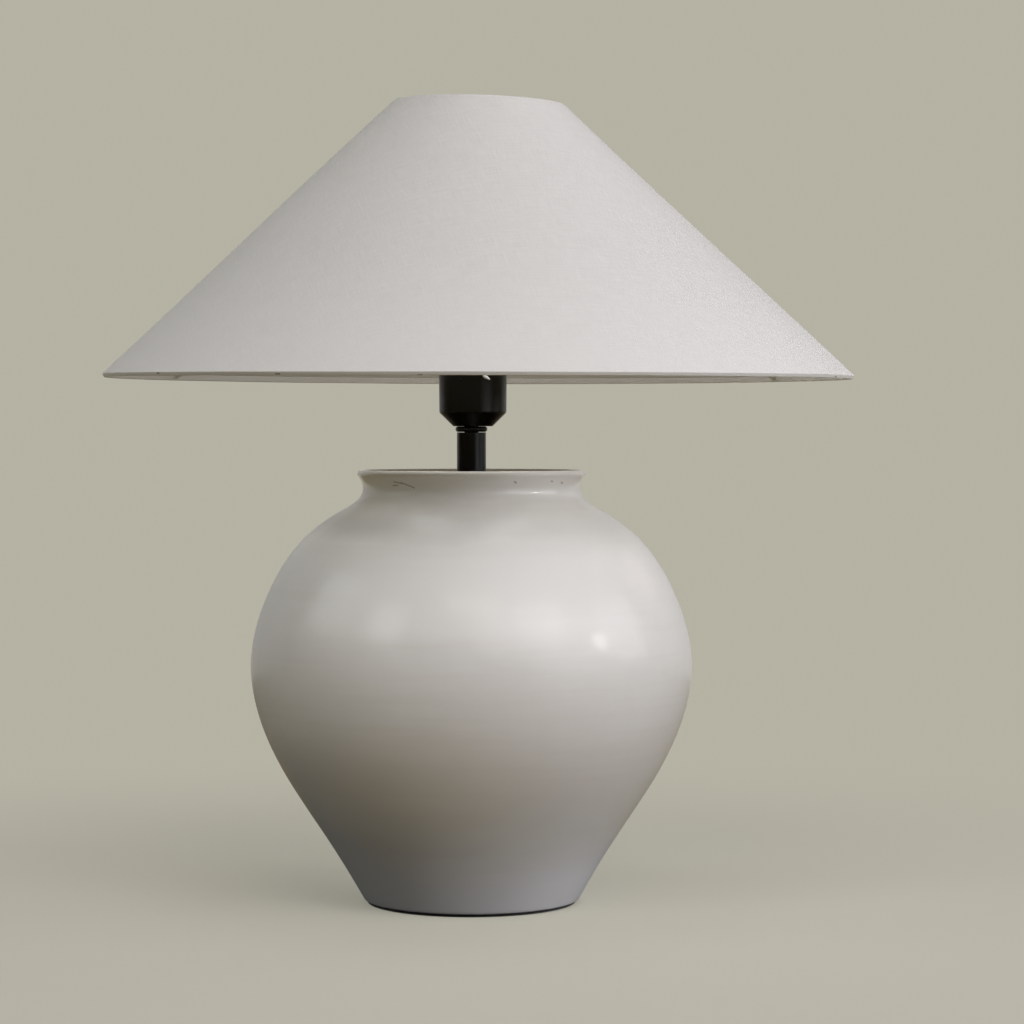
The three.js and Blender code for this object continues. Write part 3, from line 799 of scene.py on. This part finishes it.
def make_nut():
    lowest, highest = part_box("bottom_nut")
    flats = (highest.y - lowest.y) / MM
    bottom, up = low("bottom_nut"), top("bottom_nut")
    rows = 16
    heights = [bottom + (up - bottom) * i / rows for i in range(rows + 1)]
    outline = [(ROD_FIT, bottom), *((flats / 2, h) for h in heights), (ROD_FIT, up)]

    def hexagonal(x, y, z):
        r = math.hypot(x, y)
        if r < (ROD_FIT + 0.5) * MM:
            return x, y, z
        across = (math.atan2(y, x) - math.pi / 6) % (math.pi / 3) - math.pi / 6
        facet = flats / 2 / math.cos(across)
        from_face = min(z / MM - bottom, up - z / MM)
        chamfer = flats / 2 * 1.005 + 1.9 * from_face
        return x * min(facet, chamfer) * MM / r, y * min(facet, chamfer) * MM / r, z

    return crisp(turned("foot_nut", outline, 120, hexagonal), 20)


def make_lock_washer():
    outer, bottom, up = measures("bottom_lock_washer")
    middle = (bottom + up) / 2
    teeth = 16

    def toothed(x, y, z):
        r, angle = math.hypot(x, y), math.atan2(y, x)
        if r < 7.4 * MM:
            return x, y, z
        wave = math.sin(teeth * angle)
        pulled = r - 0.7 * MM * (1 - abs(wave))
        return x * pulled / r, y * pulled / r, z + 0.45 * MM * wave * (r / MM - 7.4) / (outer - 7.4)

    outline = [
        (ROD_FIT, middle - 0.45), (7.4, middle - 0.45), (outer, middle - 0.4),
        (outer, middle + 0.4), (7.4, middle + 0.45), (ROD_FIT, middle + 0.45),
    ]
    return crisp(turned("foot_lock_washer", outline, 192, toothed))


# ------------------------------------------------------------------ lampholder


def slotted_screw(name, node, horizontal):
    """A slotted screw in the place of a node: a grub screw that lies along Y, or a cheese head on Z."""
    lowest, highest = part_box(node)
    centre = (lowest + highest) / 2
    if horizontal:
        length, radius = (highest.y - lowest.y) / MM, (highest.x - lowest.x) / 2 / MM
        outline = rounded([(0, 0, 0), (radius, 0, 0.3), (radius, length, 0.2), (0, length, 0)], 0.3)
        seat = Matrix.Translation((centre.x, highest.y, centre.z)) @ Matrix.Rotation(math.pi / 2, 4, "X")
    else:
        length, radius = (highest.z - lowest.z) / MM, (highest.x - lowest.x) / 2 / MM
        shank, head = radius - 1, 3.5
        outline = rounded([
            (0, 0, 0), (radius, 0, 0.5), (radius, head, 0.2), (shank, head, 0.1), (shank, length, 0.5),
            (0, length, 0),
        ], 0.3)
        seat = Matrix.Translation((centre.x, centre.y, lowest.z))
    screw = turned(name, outline, 48)
    slot = block("slot", (-5, -0.4, -1), (5, 0.4, 0.9))
    cut_out(screw, slot)
    return crisp(moved(screw, seat), 30)


def make_holder(paint, resin, porcelain, brass, steel):
    radius, bottom, up = reach("holder_cup") + 0.2, CUP_BOTTOM_Z, top("holder_cup")
    inside, hole = radius - 1.3, ROD_FIT + CUP_SHIFT
    outline = rounded([
        (hole, bottom, 0.3), (13.1, bottom, 0.8), (radius - 0.2, CUP_CHAMFER_Z, 1.9), (radius, up, 0.5),
        (inside, up, 0.4), (inside, CUP_CHAMFER_Z + 0.7, 1.5), (12.6, bottom + 2, 0.8),
        (BOSS_RADIUS, bottom + 2, 0.5), (BOSS_RADIUS, BOSS_TOP_Z, 0.5), (hole, BOSS_TOP_Z, 0.3),
    ], 0.4, 8)
    cup = turned("holder_base", outline, 200)
    lowest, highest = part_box("lock_screw")
    bore = turned("bore", [(0, 4), (1.8, 4), (1.8, 9), (0, 9)], 24)
    cut_out(cup, moved(bore, lying_back((lowest.z + highest.z) / 2)))
    aside = Matrix.Translation((CUP_SHIFT * MM, 0, 0))
    place(crisp(moved(cup, aside)), "base", paint, "black_metal", "holder_cup")
    screw = slotted_screw("grub_screw", "lock_screw", True)
    place(moved(screw, aside), "base", steel, "steel", "lock_screw")

    radius, bottom, up = measures("holder_shell")
    inside, mouth = radius - 1.5, 14.6
    heights = [bottom + 1 + (up - bottom - 4) * i / 150 for i in range(151)]
    outline = [
        (inside, bottom), (radius - 0.4, bottom), *((radius, h) for h in heights),
        *arc((radius - 1, up - 1), 1, 0, 90, 5), *arc((mouth + 0.8, up - 0.8), 0.8, 90, 180, 5),
        (mouth, up - 2.5), (inside, up - 2.5),
    ]
    ring_thread = threaded(radius, 2.5, 0.5, inner=radius - 0.2)
    shell = turned("holder_sleeve", outline, 120, ring_thread)
    place(crisp(shell), "base", resin, "black_resin", "holder_shell")

    outer, bottom, up = measures("thread_shell")
    rows = 110
    heights = [bottom + (up - bottom) * i / rows for i in range(rows + 1)]
    outline = [(outer, h) for h in heights] + [(outer - 0.3, h) for h in reversed(heights)]
    shell = turned("screw_shell", outline, 96, threaded(outer, BULB_PITCH, 0.7))
    place(crisp(shell), "base", brass, "brass", "thread_shell")

    make_terminals(porcelain, brass, steel)


def make_terminals(porcelain, brass, steel):
    radius, bottom, up = measures("terminal_block")
    outline = rounded([
        (0, bottom, 0), (radius, bottom, 1.5), (radius, up, 0.6), (11.4, up, 0.4), (10.8, up - 0.8, 0.2),
        (0, up - 0.8, 0),
    ], 0.5, 5)
    insulator = turned("insulator_block", outline, 120)
    screws = [
        ("live_screw", "terminal_screw_live", brass, "brass"),
        ("neutral_screw", "terminal_screw_neutral", brass, "brass"),
        ("earthing_screw", "earth_screw", steel, "steel"),
    ]
    for name, node, metal, slot in screws:
        lowest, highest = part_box(node)
        centre = (lowest + highest) / 2
        for wide, start, end in ((3.3, bottom - 1, bottom + 5), (2.3, bottom + 4, bottom + 11)):
            well = turned("well", [(0, start), (wide, start), (wide, end), (0, end)], 40)
            cut_out(insulator, moved(well, Matrix.Translation((centre.x, centre.y, 0))))
        place(slotted_screw(name, node, False), "base", metal, slot, node)
    place(crisp(insulator), "base", porcelain, "porcelain", "terminal_block")

    lowest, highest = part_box("centre_contact")
    base, rise = lowest.z / MM, highest.z / MM
    half, thickness = (highest.y - lowest.y) / 2 / MM, 0.5
    line = natural_spline([
        (-9, base), (-6, base), (-3.4, base + 0.1), (-1, (base + rise - thickness) / 2),
        (0.6, rise - thickness), (3.4, rise - thickness),
    ], 30)
    vertices, faces = [], []
    for i, (x, z) in enumerate(line):
        taper = half * (1 if x < -3 else 0.86)
        for y, lift in ((-taper, 0), (taper, 0), (taper, thickness), (-taper, thickness)):
            vertices.append((x * MM, y * MM, (z + lift) * MM))
        if i:
            here, there = 4 * (i - 1), 4 * i
            faces += [(here + k, here + (k + 1) % 4, there + (k + 1) % 4, there + k) for k in range(4)]
    faces += [(3, 2, 1, 0), tuple(4 * (len(line) - 1) + k for k in range(4))]
    leaf = faced_outwards(mesh_object("contact_leaf", vertices, faces))
    leaf = crisp(bevelled(leaf, 0.00012), 30)
    place(leaf, "base", brass, "brass", "centre_contact")


# ------------------------------------------------------------------ shade rings and hub


def make_shade_rings(resin, wire):
    bore = 20.3
    outer, bottom, up = measures("shade_ring_lower")
    outline = rounded([
        (bore, bottom, 0.4), (23.5, bottom, 0.8), (outer, bottom + 2.6, 0.6), (outer, up, 0.5),
        (bore, up, 0.4),
    ], 0.4)
    lower = crisp(turned("ring_nut_lower", outline, 160))
    place(lower, "base", resin, "black_resin", "shade_ring_lower")

    bottom, up = low("shade_ring_upper"), top("shade_ring_upper")
    grip, rib, ribs = 24.9, 0.8, 24
    flange = bottom + 2.2
    rows = 6
    heights = [flange + 0.6 + (up - flange - 1.2) * i / rows for i in range(rows + 1)]
    outline = [
        *rounded([(bore, bottom), (outer, bottom), (outer, flange)], 0.4)[5:],
        (grip + 0.2, flange), *((grip, h) for h in heights),
        *arc((grip - 0.6, up - 0.6), 0.6, 0, 90, 5), (bore + 0.4, up), (bore, up - 0.4),
        (bore, bottom + 0.4), (bore + 0.4, bottom),
    ]

    def ribbed(x, y, z):
        r = math.hypot(x, y)
        if z < (flange + 0.3) * MM or r < 23 * MM:
            return x, y, z
        valley = (1 - math.cos(ribs * math.atan2(y, x))) / 2
        scale = 1 - rib * MM * valley**2 / r
        return x * scale, y * scale, z

    upper = crisp(turned("ring_nut_upper", outline, 288, ribbed))
    place(upper, "shade_ring", resin, "black_resin", "shade_ring_upper")
    hub = washer("frame_hub", "spider_hub", 20.9, 0.6, 192)
    place(hub, "shade", wire, "white_wire", "spider_hub")


# ------------------------------------------------------------------ the shade

RING_RADIUS = 247
RING_Z = 350.55
TOP_RADIUS = 56.4
TOP_Z = 530.4
WIRE = 1.5
THIN_WIRE = 1.1
SLOPE = Vector((TOP_RADIUS - RING_RADIUS, TOP_Z - RING_Z)).normalized()
HUB_CENTRE = Vector((0, 0, (low("spider_hub") + top("spider_hub")) / 2 * MM))
OFF_CENTRE = 0.0049
LEAN_FORWARD = math.radians(0.28)
LEAN_RIGHT = math.radians(0.146)
BOW = 0.0005
TOP_SKEW = math.radians(1.53)
TURNED = math.radians(-0.95)
SEAM_ANGLE = math.radians(41.1)
LEAN = (
    Matrix.Translation(HUB_CENTRE + Vector((OFF_CENTRE, 0, 0)))
    @ Matrix.Rotation(LEAN_RIGHT, 4, "Y")
    @ Matrix.Rotation(LEAN_FORWARD, 4, "X")
    @ Matrix.Translation(-HUB_CENTRE)
    @ Matrix.Rotation(TURNED, 4, "Z")
)


def settled(point):
    """Where a point of a true cone ends up on this shade: off centre, leaning, bowed, its top askew."""
    point = Vector(point)
    rise = (point.z - RING_Z * MM) / ((TOP_Z - RING_Z) * MM)
    made = LEAN @ point
    made.z += BOW * (point.x**2 - point.y**2) / (RING_RADIUS * MM) ** 2
    made.z -= point.x * math.tan(TOP_SKEW) * max(0, min(1, rise)) ** 2
    return made


def on_cone(centre, along, offset):
    """The (radius, height) of a point along the cone's line and square to it, from a wire's centre."""
    radius, height = centre
    return (radius + SLOPE.x * along + SLOPE.y * offset, height + SLOPE.y * along - SLOPE.x * offset)


def smoothstep(low_edge, high_edge, value):
    t = max(0.0, min(1.0, (value - low_edge) / (high_edge - low_edge)))
    return t * t * (3 - 2 * t)


def cone_shell(name, outer, inner, lap, lap_height, columns, seed, flat=None):
    """A thin closed skin round the cone with a lapped seam. outer runs up the outside and inner down the
    inside; their points are (radius, height, slant distance), in millimetres. flat is the share of a turn
    that the flat cut takes, and adds the cut's coordinates."""
    rows = outer + inner
    angles = [2 * math.pi * k / columns for k in range(columns)] + [2 * math.pi * (1 - 1e-5)]
    normal = Vector((SLOPE.y, -SLOPE.x))
    vertices = []
    for i, (radius, height, slant) in enumerate(rows):
        outside = i < len(outer)
        for angle in angles:
            turn = angle + SEAM_ANGLE
            direction = Vector((math.cos(turn), math.sin(turn), 0))
            around = Vector((direction.x * radius, direction.y * radius, height))
            wave = noise.noise(around * 0.011 + Vector((seed, 0, 0))) * 0.30
            wave += noise.noise(around * 0.05 + Vector((0, seed, 0))) * 0.045
            if outside == (lap > 0):
                wave += lap_height * (1 - smoothstep(abs(lap) - 2.5, abs(lap), angle * radius))
            r, h = radius + normal.x * wave, height + normal.y * wave
            vertices.append(settled((direction.x * r * MM, direction.y * r * MM, h * MM)))
    width = len(angles)
    faces, cuts = [], []
    for i in range(len(rows)):
        j = (i + 1) % len(rows)
        for k in range(width):
            m = (k + 1) % width
            faces.append((i * width + k, i * width + m, j * width + m, j * width + k))
            if flat:
                turn_a = angles[k] * flat
                turn_b = (angles[m] if m else 2 * math.pi) * flat
                for row, turn in ((i, turn_a), (i, turn_b), (j, turn_b), (j, turn_a)):
                    slant = rows[row][2] * MM
                    cuts.append((slant * math.cos(turn), slant * math.sin(turn)))
    piece = sharpen(mesh_object(name, vertices, faces), 45)
    if flat:
        layer = piece.data.uv_layers.new(name="flat_cut")
        for loop, uv in zip(layer.data, cuts):
            loop.uv = uv
    return piece


def cloth_line(inset):
    """The cloth's line up the outside, both hems included: (radius, height, slant distance) in
    millimetres. The corners are (distance up the cone's line, distance square to it, rounding)."""
    length = (Vector((TOP_RADIUS, TOP_Z)) - Vector((RING_RADIUS, RING_Z))).length
    skin, fold, tuck = WIRE + 0.6 - inset, 2.0 - inset, 1.75 - inset
    corners = [
        (3.2, inset + 0.4, 0), (-0.3, inset - 1.3, 0.9), (inset - 1.55, inset * 0.5 - 0.6, 0.9),
        (inset - 0.9, skin, 0.45), (length + fold, skin, 1.4), (length + fold, -fold, 1.2),
        (length - 5, -tuck, 0),
    ]
    path = [Vector(corner) for corner in rounded(corners, 0, 6)]
    spacing = 3 if inset == 0 else 20
    line = [path[0]]
    for before, after in zip(path, path[1:]):
        parts = max(1, round((after - before).length / spacing))
        line += [before.lerp(after, i / parts) for i in range(1, parts + 1)]
    travelled = [0]
    for before, after in zip(line, line[1:]):
        travelled.append(travelled[-1] + (after - before).length)
    face = next(i for i, point in enumerate(line) if point.x > 0 and point.y > 0)
    wire_slant = RING_RADIUS / -SLOPE.x + travelled[face] - line[face].x
    return [
        (*on_cone((RING_RADIUS, RING_Z), point.x, point.y), wire_slant - gone)
        for point, gone in zip(line, travelled)
    ]


def make_cover(linen):
    """The cloth, folded over both wires. Returns its flat cut's size and area."""
    share, lap = -SLOPE.x, 12
    outside = cloth_line(0)
    inside = cloth_line(0.5)[::-1]
    cover = cone_shell("shade_cloth", outside, inside, lap, 0.4, 420, 2.0, share)
    place(cover, "shade", linen, "linen", "shade_fabric")
    far, near = outside[0][2], outside[-1][2]
    area = math.pi * share * (far**2 - near**2) + lap * (far - near)
    widest = 2 * far
    tall = far * (1 - math.cos(math.pi * share))
    return cover, (widest * MM, tall * MM), area * MM * MM


def make_liner(laminate):
    outer, thickness, clear = WIRE, 0.45, 3.4
    bottom, up = (RING_RADIUS, RING_Z), (TOP_RADIUS, TOP_Z)
    length = (Vector(up) - Vector(bottom)).length
    steps = 60
    span = [clear + (length - 2 * clear) * i / steps for i in range(steps + 1)]
    outside = [(*on_cone(bottom, s, outer), 0) for s in span]
    inside = [(*on_cone(bottom, s, outer - thickness), 0) for s in reversed(span)]
    liner = cone_shell("shade_lining", outside, inside, -14, -0.5, 300, 2.0)
    place(liner, "shade", laminate, "laminate", "shade_liner")


def make_frame(wire):
    """The two wire rings, and the arms from the hub down to the bottom ring."""
    low_radius, low_height = on_cone((RING_RADIUS, RING_Z), 0.3, 0.4)
    for name, node, radius, height, thickness, count in (
        ("wire_ring_bottom", "bottom_ring", low_radius, low_height, THIN_WIRE, 360),
        ("wire_ring_top", "top_ring", TOP_RADIUS, TOP_Z, WIRE, 180),
    ):
        path = []
        for i in range(count):
            a = 2 * math.pi * i / count
            path.append(settled((radius * MM * math.cos(a), radius * MM * math.sin(a), height * MM)))
        ring = swept(name, path, thickness * MM, 16, True)
        place(ring, "shade", wire, "white_wire", node)
    for i in range(3):
        node = f"spider_arm_{i + 1}"
        lowest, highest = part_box(node)
        centre = (lowest + highest) / 2
        angle = math.atan2(centre.y, centre.x)
        place(make_arm(f"frame_arm_{i + 1}", angle), "shade", wire, "white_wire", node)


ARM_END_Z = 357.0


def make_arm(name, angle):
    """A wire from the hub to the bottom ring. The near one has a burr of weld at its end."""
    hub_height = HUB_CENTRE.z / MM
    end = RING_RADIUS - 2 * WIRE + 0.5
    corners = [
        (25.5, hub_height + 0.9, 0), (44, hub_height + 0.4, 14), (64, hub_height - 0.4, 14),
        (end - 11, ARM_END_Z, 8), (end, RING_Z + 1.2, 0),
    ]
    line = rounded(corners, 0, 10)
    path = []
    for radius, height in line:
        point = Vector((radius * MM * math.cos(angle), radius * MM * math.sin(angle), height * MM))
        share = smoothstep(30, RING_RADIUS, radius)
        path.append(point.lerp(settled(point), share))
    arm = swept(name, path, WIRE * MM, 16)
    if path[-1].y > 0:
        return arm
    start = path[-1] + Vector((-1.3, -2.3, -2.5)) * MM
    end = path[-1] + Vector((2.7, -2.6, -5.0)) * MM
    steps = 12
    line, widths = [], []
    for i in range(steps + 1):
        line.append(start.lerp(end, i / steps))
        widths.append(math.sin(math.pi * (i + 1.5) / (steps + 3)) ** 0.7 * (1 - 0.45 * i / steps))
    burr = swept("burr", line, 1.25 * MM, 12, widths=widths)
    return joined(name, [arm, burr])


# ------------------------------------------------------------------ bulb


def make_bulb(glass, nickel, dark_glass):
    radius, bottom, up = measures("bulb_tip")
    curve = natural_spline([(1.2, bottom), (3, bottom + 0.15), (radius, bottom + 0.9)], 10)
    tip = crisp(turned("bulb_contact", [(0, bottom), *curve, (radius, up), (0, up)], 64))
    place(tip, "bulb_seat", nickel, "nickel", "bulb_tip")

    radius, bottom, up = measures("bulb_insulator")
    outline = [(0, bottom, 0), (6, bottom, 0.5), (radius, up - 0.3, 0.3), (radius, up, 0.1), (0, up, 0)]
    bead = crisp(turned("bulb_glass_bead", rounded(outline, 0.3), 64))
    place(bead, "bulb", dark_glass, "dark_glass", "bulb_insulator")

    radius, bottom, up = measures("bulb_cap")
    rows = 96
    start = bottom + 2.4
    heights = [start + (up - start - 4.2) * i / rows for i in range(rows + 1)]
    outline = [
        (10.4, bottom + 0.2), (10.8, bottom), (11.4, bottom + 0.3), (12.3, bottom + 1.4),
        *((radius, h) for h in heights), (radius - 0.35, up - 3.6), (radius - 0.35, up - 0.4),
        (radius - 0.5, up), (radius - 0.8, up), (radius - 0.8, up - 3.8),
        *((radius - 0.3, h) for h in reversed(heights)), (11.6, bottom + 1.6), (10.4, bottom + 0.6),
    ]

    def thread(x, y, z):
        height = z / MM
        fade = smoothstep(start - 1.5, start + 2, height) * (1 - smoothstep(up - 6, up - 4.2, height))
        phase = height / BULB_PITCH - math.atan2(y, x) / (2 * math.pi)
        r = math.hypot(x, y)
        scale = 1 + 0.75 * MM * fade * (math.cos(2 * math.pi * phase) - 1) / 2 / r
        return x * scale, y * scale, z

    cap = turned("bulb_screw_cap", outline, 96, thread)
    place(crisp(cap), "bulb", nickel, "nickel", "bulb_cap")

    radius, bottom, up = measures("bulb_glass")
    centre, wall = up - radius, 0.9
    neck = 12.1
    outside = natural_spline([
        (neck, bottom), (neck, bottom + 6), (15.2, bottom + 13), (20.2, bottom + 22),
        (25.4, bottom + 32), (radius - 0.9, centre - 8), (radius, centre),
    ], 60)
    crown = arc((0, centre), radius, 3, 89, 30)
    inner_crown = arc((0, centre), radius - wall, 89, 3, 30)
    inner = [(r - wall, h) for r, h in reversed(outside)]
    outline = [*outside, *crown, (0, up), (0, up - wall), *inner_crown, *inner]
    envelope = turned("bulb_envelope", outline, 120)
    place(envelope, "bulb", glass, "bulb_glass", "bulb_glass")


# ------------------------------------------------------------------ floor, world and lights

BACKDROP = (0.462, 0.447, 0.370)


def hidden_from_light(piece):
    """Keeps a piece of the surroundings out of reflections, bounced light and shadows."""
    piece.visible_diffuse = False
    piece.visible_glossy = False
    piece.visible_shadow = False


def glow(s, colour):
    return s.node("ShaderNodeEmission", {"Color": (*colour, 1), "Strength": 1.0}).outputs[0]


def make_stage():
    """A round floor that takes the lamp's shadow and fades into the backdrop's colour further out."""
    near, far = 0.15, 0.9
    radii = [0.02 * 1.35**i for i in range(24)]
    vertices, faces, sides = [(0, 0, 0)], [], 96
    for i, radius in enumerate(radii):
        for k in range(sides):
            a = 2 * math.pi * k / sides
            vertices.append((radius * math.cos(a), radius * math.sin(a), 0))
            here, after = 1 + i * sides + k, 1 + i * sides + (k + 1) % sides
            if i:
                faces.append((here - sides, here, after, after - sides))
            else:
                faces.append((0, here, after))
    floor = mesh_object("floor", vertices, faces)
    s = Shader("floor", (0.5, 0.485, 0.42), 0.8)
    grain = s.noise(90, 3)
    s.set(base_color=s.mix(grain, (0.68, 0.665, 0.575), (0.70, 0.685, 0.595)))
    share = s.remap(s.vector("LENGTH", "Value", s.place), near, far, 0.4, 1.0)
    share.node.interpolation_type = "SMOOTHSTEP"
    blend = s.node("ShaderNodeMixShader", {"Fac": share, 1: s.bsdf.outputs[0], 2: glow(s, BACKDROP)})
    s.surface(blend.outputs[0])
    floor.data.materials.append(s.material)
    hidden_from_light(floor)


def make_backdrop():
    """An even wall all round, far away, that lights nothing."""
    radius, sides, rows = 19, 48, 24
    vertices, faces = [], []
    for i in range(rows + 1):
        tilt = -0.1 + (math.pi / 2 + 0.1) * i / rows
        for k in range(sides):
            a = 2 * math.pi * k / sides
            flat = radius * math.cos(tilt)
            vertices.append((flat * math.cos(a), flat * math.sin(a), radius * math.sin(tilt)))
    for i in range(rows):
        for k in range(sides):
            m = (k + 1) % sides
            faces.append((i * sides + k, i * sides + m, (i + 1) * sides + m, (i + 1) * sides + k))
    dome = mesh_object("backdrop", vertices, faces)
    s = Shader("backdrop", (0, 0, 0), 1.0)
    s.surface(glow(s, BACKDROP))
    dome.data.materials.append(s.material)
    hidden_from_light(dome)
    dome.visible_transmission = False


def make_card():
    """A black card under the lamp, unseen by the camera, that keeps light off the vase's foot."""
    card = block("black_card", (-320, -145, -6), (140, 181, -2))
    card.data.materials.append(Shader("black_card", (0.012, 0.012, 0.013), 0.6).material)
    card.visible_camera = False


GROUND_LIGHT = (0.139, 0.108, 0.045)


def make_world():
    """Dim warm light from below the horizon, as off a floor, and none from above it."""
    world = bpy.data.worlds.new("studio")
    world.use_nodes = True
    bpy.context.scene.world = world
    w = Nodes(world.node_tree, "Generated")
    above = w.remap(w.axis("Z"), -0.1, 0.0)
    above.node.interpolation_type = "SMOOTHSTEP"
    w.feed(w.tree.nodes["Background"].inputs["Color"], w.mix(above, GROUND_LIGHT, (0, 0, 0)))


AIM = Vector((0, 0, 0.25))
LIGHT_DISTANCE = 2.6
# Square lights: name, azimuth and elevation seen from the lamp in degrees, side, power, colour.
LIGHTS = [
    ("front_high", 0, 50, 1.1, 12.6, (1.0, 0.93, 0.82)),
    ("front_right", 15, 28, 1.1, 8.5, (1.0, 0.96, 0.98)),
    ("right", 40, 28, 1.1, 12.0, (0.96, 0.95, 1.0)),
    ("right_low", 50, 16, 1.4, 12.7, (0.9, 0.93, 1.0)),
    ("small_lamp", 71, 16, 0.36, 7.0, (1.0, 0.97, 0.97)),
    ("side_right", 90, 16, 1.1, 11.2, (0.93, 0.94, 1.0)),
    ("rear_right", 125, 28, 1.1, 4.0, (1.0, 0.85, 0.77)),
    ("left", -48, 28, 0.8, 8.0, (0.95, 0.97, 1.0)),
    ("side_left", -90, 28, 1.1, 8.2, (0.95, 1.0, 0.96)),
]
WALL_SIZE = (5.0, 2.2)
WALL_BEHIND = 1.3
WALL_BRIGHTNESS = 0.433


def add_light(name, kind, location, power, colour):
    data = bpy.data.lights.new(name, kind)
    data.energy = power
    data.color = colour
    light = added(name, data)
    light.location = location
    return light


def make_lights():
    """The square soft lights, then the wall's own light from behind, and a faint one inside the shade for
    the light that seeps through the cloth."""
    for name, azimuth, elevation, side, power, colour in LIGHTS:
        a, e = math.radians(azimuth), math.radians(elevation)
        towards = Vector((math.sin(a) * math.cos(e), -math.cos(a) * math.cos(e), math.sin(e)))
        light = add_light(name, "AREA", AIM + towards * LIGHT_DISTANCE, power, colour)
        light.data.size = side
        light.rotation_euler = (-towards).to_track_quat("-Z", "Y").to_euler()
    wide, tall = WALL_SIZE
    power = math.pi * wide * tall * WALL_BRIGHTNESS
    wall = add_light("wall", "AREA", (0, WALL_BEHIND, tall / 2), power, (1.0, 0.99, 0.96))
    wall.data.shape = "RECTANGLE"
    wall.data.size, wall.data.size_y = wide, tall
    wall.rotation_euler = (-math.pi / 2, 0, 0)
    wall.visible_camera = False
    seeping = add_light("through_the_cloth", "POINT", (0, 0, 0.43), 0.528, (0.99, 1.0, 0.99))
    seeping.data.shadow_soft_size = 0.1
    seeping.visible_camera = False


# ------------------------------------------------------------------ everything together

make_camera()
bpy.context.scene.view_settings.view_transform = "Standard"

felt, rubber = felt_material(), rubber_material()
steel = metal_material("zinc_plated_steel", (0.60, 0.59, 0.57), (0.42, 0.41, 0.39), 0.3)
brass = metal_material("brass", (0.72, 0.52, 0.22), (0.50, 0.36, 0.16), 0.26)
nickel = metal_material("nickel_plate", (0.62, 0.60, 0.56), (0.46, 0.44, 0.41), 0.24)
paint, resin = black_paint_material(), black_resin_material()
porcelain, wire = porcelain_material(), wire_material()
laminate, linen = laminate_material(), linen_material()

make_vase(glaze_material(), clay_and_shade_material())
make_foot(felt, rubber)
make_stem(steel, rubber, paint)
make_holder(paint, resin, porcelain, brass, steel)
make_shade_rings(resin, wire)
make_frame(wire)
make_liner(laminate)
cover, flat, area = make_cover(linen)
make_bulb(frosted_material(), nickel, dark_glass_material())
make_stage()
make_backdrop()
make_card()
make_world()
make_lights()
